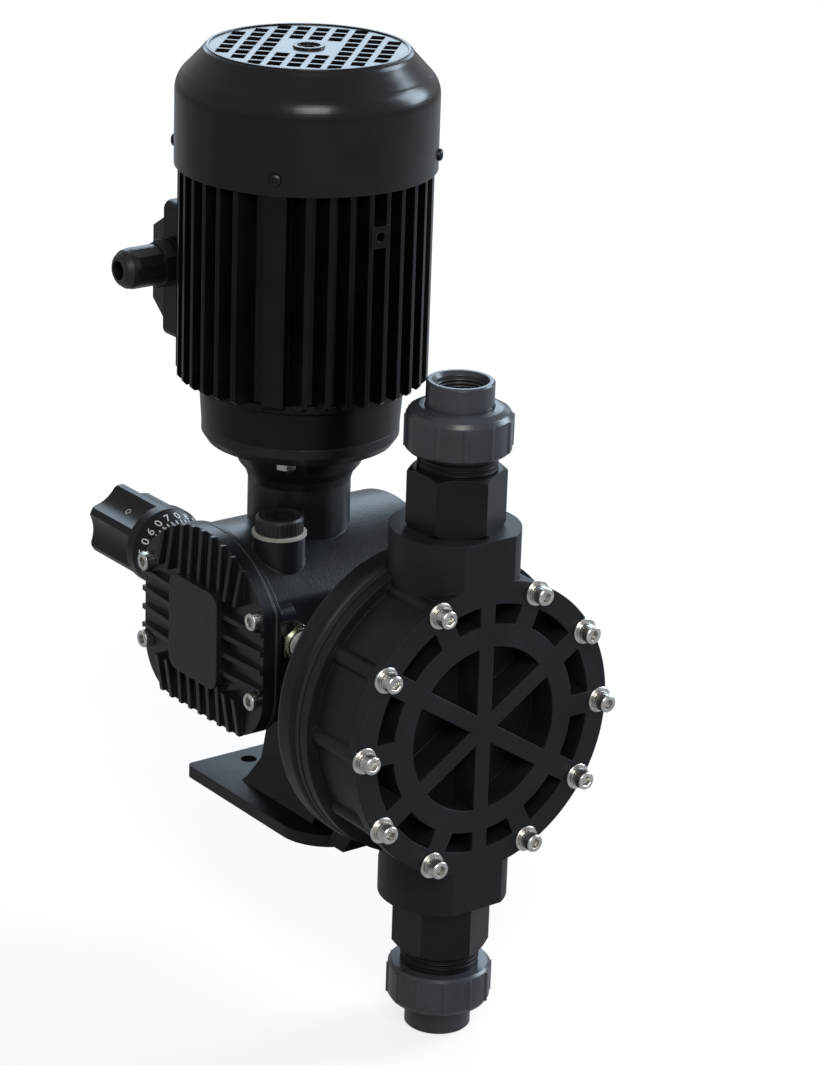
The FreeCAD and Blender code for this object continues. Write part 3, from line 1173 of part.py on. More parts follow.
def washer_set(radius, y0, y1):
    rings = []
    for angle in head_bolt_places():
        p = head_point(angle, BOLT_CIRCLE_R, 0)
        rings.append(along_y(radius, y0, y1, p.x, p.z).cut(along_y(M6_R + FIT_GAP, y0, y1, p.x, p.z)))
    return Part.makeCompound(rings)


def head_washers():
    return washer_set(WASHER_R, HEAD_FRONT_Y - WASHER_THICK, HEAD_FRONT_Y)


def head_spring_washers():
    y1 = HEAD_FRONT_Y - WASHER_THICK
    return washer_set(SPRING_WASHER_R, y1 - SPRING_WASHER_THICK, y1)


def outward(shape, side):
    """Moves a shape drawn about the port axis, with Z as the distance outwards, to its port."""
    placed = shape.copy()
    if side < 0:
        placed.rotate(V(0, 0, 0), X_AXIS, 180)
    placed.translate(V(0, PORT_Y, HEAD_AXIS_Z))
    return placed


def flow_slots(w0, w1):
    return [block(-11, 11, -2, 2, w0, w1), block(-2, 2, -11, 11, w0, w1)]


def valve_blank():
    """Outside of a valve body: spigot in the head, hexagon with bevelled ends and thread neck."""
    spigot = along_z(BOSS_BORE_R, VALVE_INNER_END, BOSS_END + 1, 0, 0)
    hexa = hexagon(VALVE_FLATS, V(0, 0, BOSS_END), Z_AXIS, VALVE_END - BOSS_END, 30)
    corner = VALVE_FLATS / math.sqrt(3.0)
    bevel = turned_z([(0, BOSS_END), (corner - 2, BOSS_END), (corner, BOSS_END + 2), (corner, VALVE_END - 2),
                      (corner - 3, VALVE_END), (0, VALVE_END)], 0, 0)
    neck = along_z(NECK_R, VALVE_END - 1, NECK_END, 0, 0)
    return fuse_all([spigot, hexa.common(bevel), neck])


def ball_height():
    return math.sqrt(BALL_R ** 2 - SEAT_BORE_R ** 2) + FIT_GAP


def discharge_valve_body():
    top_of_lift = DISCHARGE_SEAT_END + ball_height() + BALL_R + BALL_LIFT + FIT_GAP
    tools = [along_z(SEAT_R + FIT_GAP, VALVE_INNER_END, DISCHARGE_SEAT_END, 0, 0),
             along_z(GUIDE_R, DISCHARGE_SEAT_END, top_of_lift, 0, 0),
             along_z(CHANNEL_R, top_of_lift + 4, NECK_END, 0, 0)] + flow_slots(DISCHARGE_SEAT_END,
                                                                               top_of_lift + 6)
    return outward(valve_blank().cut(tools), 1)


def suction_valve_body():
    top_of_lift = SUCTION_SEAT_START - ball_height() - BALL_R - BALL_LIFT - FIT_GAP
    tools = [along_z(SEAT_R + FIT_GAP, SUCTION_SEAT_START, NECK_END, 0, 0),
             along_z(GUIDE_R, top_of_lift, SUCTION_SEAT_START, 0, 0),
             along_z(CHANNEL_R, VALVE_INNER_END, top_of_lift - 4, 0, 0)]
    tools += flow_slots(top_of_lift - 6, SUCTION_SEAT_START)
    return outward(valve_blank().cut(tools), -1)


def valve_seats():
    """A short ring under the discharge ball and a sleeve under the suction ball."""
    w0 = DISCHARGE_SEAT_END - SEAT_THICK
    ring = along_z(SEAT_R, w0, DISCHARGE_SEAT_END, 0, 0)
    ring = ring.cut(along_z(SEAT_BORE_R, w0, DISCHARGE_SEAT_END, 0, 0))
    w0, w1 = SUCTION_SEAT_START, NECK_END
    bore = [along_z(SEAT_BORE_R, w0, w1, 0, 0), along_z(CHANNEL_R, w0 + SEAT_THICK, w1, 0, 0)]
    sleeve = along_z(SEAT_R, w0, w1, 0, 0).cut(bore)
    return Part.makeCompound([outward(ring, 1), outward(sleeve, -1)])


def valve_ball(side):
    if side > 0:
        w = DISCHARGE_SEAT_END + ball_height()
    else:
        w = -(SUCTION_SEAT_START - ball_height())
    return Part.makeSphere(BALL_R, V(0, PORT_Y, HEAD_AXIS_Z + w))


def union_nut(side):
    profile = [(NUT_R - 1.5, NUT_START), (NUT_R, NUT_START + 1.5), (NUT_R, NUT_SIDE_END),
               (NUT_R - 1.6, NUT_SIDE_END + 2.6), (NUT_R - 5, NUT_END - 0.6), (NUT_R - 7, NUT_END),
               (TAIL_R + SAFE_GAP, NUT_END)]
    collar_top = NECK_END + 2 * O_RING_WIRE_R + COLLAR_THICK
    inside = [(TAIL_R + SAFE_GAP, collar_top), (NECK_R + FIT_GAP, collar_top), (NECK_R + FIT_GAP, NUT_START)]
    nut = turned_z(profile + inside, 0, 0)
    ribs = []
    for i in range(NUT_RIB_COUNT):
        rib = along_z(1.6, NUT_START + 2, NUT_SIDE_END, NUT_R - 0.7, 0)
        rib.rotate(V(0, 0, 0), Z_AXIS, 360 / NUT_RIB_COUNT * i)
        ribs.append(rib)
    return outward(fuse_all([nut] + ribs), side)


def union_tail(side):
    w0 = NECK_END + 2 * O_RING_WIRE_R
    collar = along_z(COLLAR_R, w0, w0 + COLLAR_THICK, 0, 0)
    tube = along_z(TAIL_R, w0, TAIL_END, 0, 0)
    tube = tube.makeChamfer(0.8, [e for e in tube.Edges if isinstance(e.Curve, Part.Circle)
                                  and e.CenterOfMass.z > w0 + 1])
    mouth = Part.makeCone(TAIL_BORE_R, TAIL_MOUTH_R, TAIL_MOUTH_R - TAIL_BORE_R,
                          V(0, 0, TAIL_END - TAIL_MOUTH_R + TAIL_BORE_R), Z_AXIS)
    bore = along_z(TAIL_BORE_R, w0, TAIL_END, 0, 0)
    return outward(collar.fuse(tube).cut([bore, mouth]), side)


def union_o_rings():
    w = NECK_END + O_RING_WIRE_R
    return Part.makeCompound([outward(Part.makeTorus(O_RING_R, O_RING_WIRE_R, V(0, 0, w)), s) for s in (1,
                                                                                                        -1)])


# Stroke adjuster


def adjuster_housing():
    z = ADJUSTER_Z
    y0 = BODY_REAR_Y
    outer = [along_y(ADJUSTER_FLANGE_R, y0, y0 + ADJUSTER_FLANGE, 0, z),
             along_y(ADJUSTER_R, y0, ADJUSTER_BODY_END_Y, 0, z),
             along_y(ADJUSTER_NECK_R, y0, ADJUSTER_NECK_END_Y, 0, z)]
    groove = along_y(ADJUSTER_NECK_R + 1, KNOB_SCREW_Y - 3, KNOB_SCREW_Y + 3, 0, z)
    groove = groove.cut(along_y(ADJUSTER_NECK_R - 1.2, KNOB_SCREW_Y - 3, KNOB_SCREW_Y + 3, 0, z))
    bore = along_y(SPINDLE_R + RUN_GAP, y0, ADJUSTER_NECK_END_Y, 0, z)
    return fuse_all(outer).cut([bore, groove])


def adjusting_spindle():
    return along_y(SPINDLE_R, SPINDLE_TIP_Y, SPINDLE_END_Y, 0, ADJUSTER_Z)


def stroke_knob():
    z = ADJUSTER_Z
    y0, y1 = KNOB_NEAR_Y, KNOB_NEAR_Y + KNOB_LENGTH
    y2 = y0 + KNOB_DIAL_LENGTH
    profile = [(0, y0), (KNOB_DIAL_NEAR_R - 0.5, y0), (KNOB_DIAL_NEAR_R, y0 + 0.5), (KNOB_R - 0.5, y2),
               (KNOB_R, y2 + 1), (KNOB_R, y1 - 1.5), (KNOB_R - 1.5, y1), (0, y1)]
    body = turned_y(profile, 0, z)
    flutes = []
    for i in range(KNOB_FLUTES):
        a = math.radians(KNOB_TURN + 180 / KNOB_FLUTES + 360 / KNOB_FLUTES * i)
        d = KNOB_FLUTE_FLOOR_R + KNOB_FLUTE_R
        flutes.append(along_y(KNOB_FLUTE_R, y2 + KNOB_BAND, y1 + 1, d * math.cos(a), z + d * math.sin(a)))
    body = body.cut(flutes)
    sleeve = along_y(ADJUSTER_NECK_R + RUN_GAP, y0, ADJUSTER_NECK_END_Y + 1, 0, z)
    screw = knob_screw_rod(KNOB_SCREW_R + FIT_GAP, KNOB_R)
    return body.cut([sleeve, screw])


def knob_screw_angle():
    return KNOB_TURN + 180 / KNOB_FLUTES + 60


def knob_screw_rod(radius, outer):
    inner = ADJUSTER_NECK_R - 1.2 + SAFE_GAP
    a = math.radians(knob_screw_angle())
    axis = V(math.cos(a), 0, math.sin(a))
    return Part.makeCylinder(radius, outer - inner, V(0, KNOB_SCREW_Y, ADJUSTER_Z) + axis * inner, axis)


def knob_set_screw():
    return knob_screw_rod(KNOB_SCREW_R, KNOB_FLUTE_FLOOR_R - 0.2)


def all_pieces():
    return {
        "mounting_bracket": mounting_bracket(),
        "gearbox_housing": gearbox_housing(),
        "side_cover": side_cover(),
        "cover_gasket": cover_gasket(),
        "cover_screws": cover_screws(),
        "pedestal_bolts": pedestal_bolts(),
        "filler_plug": filler_plug(),
        "filler_gasket": filler_gasket(),
        "sight_glass_body": sight_glass_body(),
        "sight_glass_lens": sight_glass_lens(),
        "drain_plug": drain_plug(),
        "adjuster_housing": adjuster_housing(),
        "flange_bolts": flange_bolts(),
        "drive_end_shield": drive_end_shield(),
        "motor_frame": motor_frame(),
        "fan_end_shield": fan_end_shield(),
        "fan_cowl": fan_cowl(),
        "cowl_screws": cowl_screws(),
        "stator_core": stator_core(),
        "stator_windings": stator_windings(),
        "motor_bearings": motor_bearings(),
        "rotor_core": rotor_core(),
        "motor_shaft": motor_shaft(),
        "cooling_fan": cooling_fan(),
        "worm_shaft": worm_shaft(),
        "worm_bearings": worm_bearings(),
        "shaft_seal": shaft_seal(),
        "terminal_box": terminal_box(),
        "terminal_box_lid": terminal_box_lid(),
        "lid_screws": lid_screws(),
        "terminal_block": terminal_block(),
        "gland_body": gland_body(),
        "gland_nut": gland_nut(),
        "worm_wheel": worm_wheel(),
        "eccentric_shaft": eccentric_shaft(),
        "eccentric_cams": eccentric_cams(),
        "wheel_bearings": wheel_bearings(),
        "drive_yoke": drive_yoke(),
        "rod_bush": rod_bush(),
        "rod_seal": rod_seal(),
        "return_spring": return_spring(),
        "diaphragm_plate": diaphragm_plate(),
        "diaphragm": diaphragm(),
        "pump_head": pump_head(),
        "head_bolts": head_bolts(),
        "head_washers": head_washers(),
        "head_spring_washers": head_spring_washers(),
        "discharge_valve_body": discharge_valve_body(),
        "suction_valve_body": suction_valve_body(),
        "valve_seats": valve_seats(),
        "discharge_ball": valve_ball(1),
        "suction_ball": valve_ball(-1),
        "discharge_union_nut": union_nut(1),
        "suction_union_nut": union_nut(-1),
        "discharge_tail": union_tail(1),
        "suction_tail": union_tail(-1),
        "union_o_rings": union_o_rings(),
        "adjusting_spindle": adjusting_spindle(),
        "stroke_knob": stroke_knob(),
        "knob_set_screw": knob_set_screw(),
    }


os.makedirs("parts", exist_ok=True)
for name, shape in all_pieces().items():
    shape.exportStep("parts/" + name + ".step")
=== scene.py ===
import math

import bmesh
import bpy
from mathutils import Matrix, Vector


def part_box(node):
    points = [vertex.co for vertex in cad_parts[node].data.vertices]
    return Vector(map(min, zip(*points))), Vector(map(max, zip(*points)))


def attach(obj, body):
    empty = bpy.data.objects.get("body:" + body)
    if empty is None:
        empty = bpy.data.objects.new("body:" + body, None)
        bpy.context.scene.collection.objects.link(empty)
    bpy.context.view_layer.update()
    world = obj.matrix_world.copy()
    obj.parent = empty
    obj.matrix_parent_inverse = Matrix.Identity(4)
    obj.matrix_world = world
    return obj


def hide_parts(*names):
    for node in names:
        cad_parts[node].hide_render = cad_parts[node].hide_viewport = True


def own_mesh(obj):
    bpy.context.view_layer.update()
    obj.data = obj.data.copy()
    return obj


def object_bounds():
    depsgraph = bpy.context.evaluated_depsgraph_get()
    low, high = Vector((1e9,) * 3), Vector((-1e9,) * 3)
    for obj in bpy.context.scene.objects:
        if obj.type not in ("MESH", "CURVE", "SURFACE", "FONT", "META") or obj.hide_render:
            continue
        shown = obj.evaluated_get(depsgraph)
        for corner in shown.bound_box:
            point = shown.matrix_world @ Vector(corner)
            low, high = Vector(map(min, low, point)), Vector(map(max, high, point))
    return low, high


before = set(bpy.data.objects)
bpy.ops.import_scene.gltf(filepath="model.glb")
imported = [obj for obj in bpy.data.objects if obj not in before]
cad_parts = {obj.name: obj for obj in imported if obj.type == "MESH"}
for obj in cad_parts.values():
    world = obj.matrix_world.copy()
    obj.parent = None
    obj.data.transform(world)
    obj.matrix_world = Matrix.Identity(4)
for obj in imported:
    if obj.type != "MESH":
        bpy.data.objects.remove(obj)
cad_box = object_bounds()

# Bracket
# One iron casting: foot, pedestal, round disc and lantern. It is coated with a black textured paint
# that leaves a fine orange-peel grain over the slow waves of the sand mould.


def linear(code):
    """Linear RGBA of an sRGB colour written as #rrggbb."""
    parts = [int(code[i:i + 2], 16) / 255 for i in (1, 3, 5)]
    return [c / 12.92 if c <= 0.04045 else ((c + 0.055) / 1.055) ** 2.4 for c in parts] + [1.0]


def add_node(tree, kind, values=None, links=None, **settings):
    """Adds a node with its settings, its socket values and the outputs that feed its sockets."""
    node = tree.nodes.new(kind)
    for key, value in settings.items():
        setattr(node, key, value)
    for key, value in (values or {}).items():
        node.inputs[key].default_value = value
    for key, source in (links or {}).items():
        tree.links.new(source, node.inputs[key])
    return node


def new_material(name):
    """A material with an empty tree, and its Object coordinates in metres."""
    material = bpy.data.materials.new(name)
    material.use_nodes = True
    material.node_tree.nodes.clear()
    place = add_node(material.node_tree, "ShaderNodeTexCoord")
    return material, material.node_tree, place.outputs["Object"]


def close_material(tree, colour, roughness, normal, **fixed):
    """Ends a tree in a Principled surface. fixed holds the values that are the same all over."""
    values = {key.replace("_", " "): value for key, value in fixed.items()}
    surface = add_node(tree, "ShaderNodeBsdfPrincipled", values,
                       {"Base Color": colour, "Roughness": roughness, "Normal": normal})
    add_node(tree, "ShaderNodeOutputMaterial", links={"Surface": surface.outputs["BSDF"]})


def patches(tree, where, size_mm, dark, light):
    """Soft patches of a size in millimetres, as a factor and as a colour between two tones."""
    noise = add_node(tree, "ShaderNodeTexNoise", {"Scale": 1000 / size_mm, "Detail": 3.0}, {"Vector": where})
    ramp = add_node(tree, "ShaderNodeValToRGB", links={"Fac": noise.outputs["Fac"]})
    ramp.color_ramp.elements[0].position = 0.35
    ramp.color_ramp.elements[0].color = linear(dark)
    ramp.color_ramp.elements[1].position = 0.68
    ramp.color_ramp.elements[1].color = linear(light)
    return noise.outputs["Fac"], ramp.outputs["Color"]


def spread(tree, factor, low, high):
    """A factor from 0 to 1 as a value between two limits."""
    return add_node(tree, "ShaderNodeMapRange", {"To Min": low, "To Max": high},
                    {"Value": factor}).outputs["Result"]


def soft_edges(tree, radius_mm):
    """The normal of edges rounded by a radius in millimetres."""
    return add_node(tree, "ShaderNodeBevel", {"Radius": radius_mm / 1000}, samples=4).outputs["Normal"]


def grain(tree, where, size_mm, depth_mm, strength, normal):
    """A bump of a grain size and depth in millimetres over another normal."""
    noise = add_node(tree, "ShaderNodeTexNoise", {"Scale": 1000 / size_mm, "Detail": 2.0}, {"Vector": where})
    bump = add_node(tree, "ShaderNodeBump", {"Strength": strength, "Distance": depth_mm / 1000},
                    {"Height": noise.outputs["Fac"], "Normal": normal})
    return bump.outputs["Normal"]


def coated(name, dark, light, rough, grain_mm, grain_depth_mm, gloss, edge_mm=0.9):
    """Black paint over metal: patches of tone, mould waves, the grain of the coat and its gloss."""
    patch_mm, wave_mm, wave_depth_mm = 22.0, 14.0, 0.8
    material, tree, where = new_material(name)
    factor, colour = patches(tree, where, patch_mm, dark, light)
    waves = grain(tree, where, wave_mm, wave_depth_mm, 0.25, soft_edges(tree, edge_mm))
    normal = grain(tree, where, grain_mm, grain_depth_mm, 0.6, waves)
    close_material(tree, colour, spread(tree, factor, *rough), normal, Specular_IOR_Level=gloss)
    return material


def dress(material, *names):
    """Gives CAD nodes a material."""
    for name in names:
        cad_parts[name].data.materials.clear()
        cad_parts[name].data.materials.append(material)


# Powder coat on cast iron: nearly black and satin, with a grain of about a millimetre
iron_coat = coated("powder_coat_on_cast_iron", "#111316", "#1a1c20", (0.36, 0.48), 1.3, 0.12, 0.24)
dress(iron_coat, "mounting_bracket")

# Gearbox
# Two aluminium castings with a thin grey gasket between them, sprayed black before the screws go in.
# The brush and spray marks leave it a little glossier and bluer than the bracket.
alloy_coat = coated("sprayed_paint_on_cast_aluminium", "#101418", "#1a1e23", (0.27, 0.40), 1.6, 0.16, 0.33)
dress(alloy_coat, "gearbox_housing", "side_cover", "adjuster_housing")


def moulded(name, dark, light, rough, ior, grain_mm=0.8, depth_mm=0.04, edge_mm=0.5, gloss=0.5):
    """Moulded plastic: an even tone, the eroded grain of the mould and soft edges."""
    patch_mm = 30.0
    material, tree, where = new_material(name)
    factor, colour = patches(tree, where, patch_mm, dark, light)
    normal = grain(tree, where, grain_mm, depth_mm, 0.5, soft_edges(tree, edge_mm))
    close_material(tree, colour, spread(tree, factor, *rough), normal, IOR=ior, Specular_IOR_Level=gloss)
    return material


# Gasket paper soaked with oil: dark grey and dull
gasket_paper = moulded("oiled_gasket_paper", "#2b2d2f", "#3c3e40", (0.6, 0.75), 1.5, 0.6, 0.1)
dress(gasket_paper, "cover_gasket")

# Cover screws
# Four M6 socket screws in stainless steel hold the side cover. The heads are turned and knurled on the
# side, with a forged hexagon socket, and the shanks stay in the casting.


def metal(name, dark, light, rough, grain_mm=0.5, depth_mm=0.02, edge_mm=0.25):
    """Bare metal: tone patches a few millimetres wide, and fine tool marks."""
    patch_mm = 4.0
    material, tree, where = new_material(name)
    factor, colour = patches(tree, where, patch_mm, dark, light)
    normal = grain(tree, where, grain_mm, depth_mm, 0.4, soft_edges(tree, edge_mm))
    close_material(tree, colour, spread(tree, factor, *rough), normal, Metallic=1.0)
    return material


stainless = metal("turned_stainless_steel", "#bfbdb9", "#e4e2de", (0.22, 0.38))


def ring_points(radius, height, segments, sides, knurl):
    """One closed ring; sides 0 is round, 6 a hexagon with radius across flats, knurl a small wave."""
    points = []
    for i in range(segments):
        a = 2 * math.pi * i / segments
        r = radius
        if sides:
            half = math.pi / sides
            r = radius / math.cos((a + half) % (2 * half) - half)
        r -= knurl * (i % 2)
        points.append(Vector((r * math.cos(a), r * math.sin(a), height)))
    return points


def turned(name, rings, segments=48, bored=False):
    """Solid through rings of (radius mm, height mm, sides, knurl mm), axis +Z. Where it is bored, the last
    ring runs back to the first, and otherwise both ends are closed."""
    mesh = bmesh.new()
    loops = []
    for radius, height, sides, knurl in rings:
        loops.append([mesh.verts.new(p / 1000) for p in ring_points(radius, height, segments, sides, knurl)])
    for low, high in zip(loops, loops[1:] + (loops[:1] if bored else [])):
        for i in range(segments):
            j = (i + 1) % segments
            mesh.faces.new((low[i], low[j], high[j], high[i]))
    if not bored:
        mesh.faces.new(list(reversed(loops[0])))
        mesh.faces.new(loops[-1])
    bmesh.ops.recalc_face_normals(mesh, faces=mesh.faces)
    data = bpy.data.meshes.new(name)
    mesh.to_mesh(data)
    mesh.free()
    return bpy.data.objects.new(name, data)


def socket_screw(head_r, head_h, socket_flats):
    """Head of a socket screw, its seat at height 0."""
    knurl, half_flats = 0.12, socket_flats / 2
    return turned("socket_head", [
        (head_r - 0.3, 0, 0, 0), (head_r, 0.3, 0, knurl), (head_r, head_h - 0.8, 0, knurl),
        (head_r - 0.2, head_h - 0.45, 0, 0), (head_r - 0.7, head_h, 0, 0),
        (half_flats + 0.25, head_h, 6, 0), (half_flats, head_h - 0.25, 6, 0),
        (half_flats, head_h * 0.45, 6, 0), (0.2, head_h * 0.35, 0, 0)])


def fastener_tree():
    """Sets one fastener on every point, along the point's axis, and gives all of them a material."""
    tree = bpy.data.node_groups.new("set_of_fasteners", "GeometryNodeTree")
    face = tree.interface
    face.new_socket("Places", in_out="INPUT", socket_type="NodeSocketGeometry")
    face.new_socket("Fastener", in_out="INPUT", socket_type="NodeSocketObject")
    face.new_socket("Size", in_out="INPUT", socket_type="NodeSocketFloat").default_value = 1.0
    face.new_socket("Seed", in_out="INPUT", socket_type="NodeSocketInt").default_value = 4
    face.new_socket("Finish", in_out="INPUT", socket_type="NodeSocketMaterial")
    face.new_socket("Fasteners", in_out="OUTPUT", socket_type="NodeSocketGeometry")
    given = add_node(tree, "NodeGroupInput").outputs
    piece = add_node(tree, "GeometryNodeObjectInfo", links={"Object": given["Fastener"]})
    axis = add_node(tree, "GeometryNodeInputNamedAttribute", {"Name": "axis"}, data_type="FLOAT_VECTOR")
    aim = add_node(tree, "FunctionNodeAlignRotationToVector", links={"Vector": axis.outputs["Attribute"]})
    spin = add_node(tree, "FunctionNodeRandomValue", {3: math.pi / 3}, {"Seed": given["Seed"]},
                    data_type="FLOAT")
    spin_axis = add_node(tree, "ShaderNodeCombineXYZ", links={"Z": spin.outputs[1]})
    placed = add_node(tree, "GeometryNodeInstanceOnPoints", links={
        "Points": given["Places"], "Instance": piece.outputs["Geometry"],
        "Rotation": aim.outputs["Rotation"], "Scale": given["Size"]})
    spun = add_node(tree, "GeometryNodeRotateInstances", links={
        "Instances": placed.outputs["Instances"], "Rotation": spin_axis.outputs["Vector"]})
    solid = add_node(tree, "GeometryNodeRealizeInstances", links={"Geometry": spun.outputs["Instances"]})
    done = add_node(tree, "GeometryNodeSetMaterial", links={
        "Geometry": solid.outputs["Geometry"], "Material": given["Finish"]})
    add_node(tree, "NodeGroupOutput", links={"Fasteners": done.outputs["Geometry"]})
    return tree


def set_input(modifier, name, value):
    """Sets a modifier's input by its socket's identifier."""
    for item in modifier.node_group.interface.items_tree:
        if item.item_type == "SOCKET" and item.in_out == "INPUT" and item.name == name:
            modifier[item.identifier] = value


def plain_mesh(name, source, tree, inputs, body):
    """Runs a tree over an object and keeps the result as a plain mesh that rides on a body."""
    bpy.context.scene.collection.objects.link(source)
    modifier = source.modifiers.new("build", "NODES")
    modifier.node_group = tree
    for key, value in inputs.items():
        set_input(modifier, key, value)
    bpy.context.view_layer.update()
    graph = bpy.context.evaluated_depsgraph_get()
    mesh = bpy.data.meshes.new_from_object(source.evaluated_get(graph), depsgraph=graph)
    source.modifiers.clear()
    bpy.data.objects.remove(source)
    return seat(name, mesh, body)


def seat(name, mesh, body):
    """Links a mesh as a piece of the pump on one of its bodies."""
    piece = bpy.data.objects.new(name, mesh)
    bpy.context.scene.collection.objects.link(piece)
    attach(piece, body)
    return piece


set_of_fasteners = fastener_tree()


def fasten(name, fastener, places, finish, body="pump", seed=4):
    """Sets a fastener at each (place mm, axis), as one piece."""
    mesh = bpy.data.meshes.new(name)
    mesh.from_pydata([Vector(p) / 1000 for p, _ in places], [], [])
    axes = mesh.attributes.new("axis", "FLOAT_VECTOR", "POINT")
    for item, (_, direction) in zip(axes.data, places):
        item.vector = direction
    inputs = {"Fastener": fastener, "Size": 1.0, "Seed": seed, "Finish": finish}
    source = bpy.data.objects.new(name + "_places", mesh)
    piece = plain_mesh(name, source, set_of_fasteners, inputs, body)
    for face in piece.data.polygons:
        face.use_smooth = False
    return piece


def centre(node):
    """Middle of a CAD node's box, in millimetres."""
    low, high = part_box(node)
    return [(a + b) * 500 for a, b in zip(low, high)]


def span(node):
    """Lowest and highest corners of a CAD node's box, in millimetres."""
    return [[v * 1000 for v in corner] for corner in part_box(node)]


m6_head_r, m6_head_h, m6_flats = 5.0, 6.0, 5.0
m6_head = socket_screw(m6_head_r, m6_head_h, m6_flats)
cover_low, cover_high = span("cover_screws")
cover_face_x = cover_low[0] + m6_head_h
cover_places = [((cover_face_x, y, z), (-1, 0, 0))
                for y in (cover_low[1] + m6_head_r, cover_high[1] - m6_head_r)
                for z in (cover_low[2] + m6_head_r, cover_high[2] - m6_head_r)]
cover_screws = fasten("cover_screw_heads", m6_head, cover_places, stainless)
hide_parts("cover_screws")

# Filler plug, sight glass and drain plug
# A nylon cap with a knurled grip on a grey gasket; a zinc-plated window with a domed glass; and a plated
# drain plug low on the front wall.
nylon = moulded("black_nylon", "#0d0f11", "#191c20", (0.32, 0.46), 1.53)
dress(nylon, "filler_plug", "gland_body", "gland_nut", "cooling_fan")
zinc = metal("bright_zinc_plate", "#8f948f", "#c9ccc6", (0.2, 0.36))
dress(zinc, "drain_plug", "pedestal_bolts", "flange_bolts")
# Yellow-passivated zinc on the window's body: a faint olive tint
yellow_zinc = metal("yellow_passivated_zinc", "#b3b5a3", "#e0e1d4", (0.2, 0.34))
dress(yellow_zinc, "sight_glass_body")
# Pressed fibre under the plug: pale grey and dry, with short fibres
gasket_fibre = moulded("pressed_fibre", "#9a9a95", "#bdbcb6", (0.75, 0.9), 1.5, 0.6, 0.1)
dress(gasket_fibre, "filler_gasket")


def clear_glass(name, tint, ior, clear=1.0):
    """Pressed glass with a faint tint and small flow marks; clear is how much light passes straight."""
    material, tree, where = new_material(name)
    factor, colour = patches(tree, where, 9.0, tint, "#ffffff")
    normal = grain(tree, where, 3.0, 0.02, 0.2, soft_edges(tree, 0.3))
    close_material(tree, colour, spread(tree, factor, 0.02, 0.06), normal, IOR=ior,
                   Transmission_Weight=clear)
    return material


sight_glass = clear_glass("pressed_soda_glass", "#a3ac9c", 1.52, 0.5)
dress(sight_glass, "sight_glass_lens")


def rib_tree():
    """Copies a straight rib round an axis along Z."""
    tree = bpy.data.node_groups.new("ribs_round_an_axis", "GeometryNodeTree")
    face = tree.interface
    face.new_socket("Rib", in_out="INPUT", socket_type="NodeSocketGeometry")
    face.new_socket("Count", in_out="INPUT", socket_type="NodeSocketInt").default_value = 12
    face.new_socket("Finish", in_out="INPUT", socket_type="NodeSocketMaterial")
    face.new_socket("Ribs", in_out="OUTPUT", socket_type="NodeSocketGeometry")
    given = add_node(tree, "NodeGroupInput").outputs
    points = add_node(tree, "GeometryNodePoints", links={"Count": given["Count"]})
    index = add_node(tree, "GeometryNodeInputIndex")
    share = add_node(tree, "ShaderNodeMath", links={0: index.outputs[0], 1: given["Count"]},
                     operation="DIVIDE")
    angle = add_node(tree, "ShaderNodeMath", {1: 2 * math.pi}, {0: share.outputs[0]}, operation="MULTIPLY")
    turn_z = add_node(tree, "ShaderNodeCombineXYZ", links={"Z": angle.outputs[0]})
    placed = add_node(tree, "GeometryNodeInstanceOnPoints", links={
        "Points": points.outputs[0], "Instance": given["Rib"], "Rotation": turn_z.outputs["Vector"]})
    solid = add_node(tree, "GeometryNodeRealizeInstances", links={"Geometry": placed.outputs["Instances"]})
    done = add_node(tree, "GeometryNodeSetMaterial", links={
        "Geometry": solid.outputs["Geometry"], "Material": given["Finish"]})
    add_node(tree, "NodeGroupOutput", links={"Ribs": done.outputs["Geometry"]})
    return tree


ribs_round_an_axis = rib_tree()


def place_mesh(piece, origin_mm, axis):
    """Moves a mesh drawn along Z to its place, with the object itself left at the origin."""
    turn_to = Vector((0, 0, 1)).rotation_difference(Vector(axis)).to_matrix().to_4x4()
    piece.data.transform(Matrix.Translation(Vector(origin_mm) / 1000) @ turn_to)
    piece.data.update()


def ribs(name, rings, count, offset_mm, origin_mm, axis, finish, body="pump"):
    """A rib turned from rings, set off from an axis and repeated round it."""
    rib = turned(name + "_rib", rings, 10)
    rib.data.transform(Matrix.Translation((offset_mm / 1000, 0, 0)))
    piece = plain_mesh(name, rib, ribs_round_an_axis, {"Count": count, "Finish": finish}, body)
    place_mesh(piece, origin_mm, axis)
    return piece


cap_top_z, cap_foot_z = span("filler_plug")[1][2], span("filler_gasket")[1][2]
filler_x, filler_y, _ = centre("filler_gasket")
cap_height, grip_r, grip_count = cap_top_z - cap_foot_z, 12.7, 36
grip_rib = [(0.45, 0, 0, 0), (0.55, 0.8, 0, 0),
            (0.55, cap_height - 2.6, 0, 0), (0.2, cap_height - 1.6, 0, 0)]
ribs("filler_cap_knurl", grip_rib, grip_count, grip_r, (filler_x, filler_y, cap_foot_z + 0.4), (0, 0, 1),
     nylon)

# Gear train
# A ground steel worm on the motor's axis drives a bronze wheel; two eccentric discs on the wheel's shaft
# push the yoke. They run in oil, so the steel is bright and the bronze is warm.
ground_steel = metal("ground_steel", "#6f7174", "#a3a5a8", (0.22, 0.36))
dress(ground_steel, "worm_shaft", "eccentric_shaft", "eccentric_cams", "worm_bearings", "wheel_bearings")
cast_bronze = metal("cast_bronze", "#8a6128", "#b98a45", (0.28, 0.42))
dress(cast_bronze, "worm_wheel", "rod_bush")
rubber = moulded("nitrile_rubber", "#0f1011", "#191a1b", (0.6, 0.75), 1.52)
dress(rubber, "shaft_seal", "rod_seal", "union_o_rings")

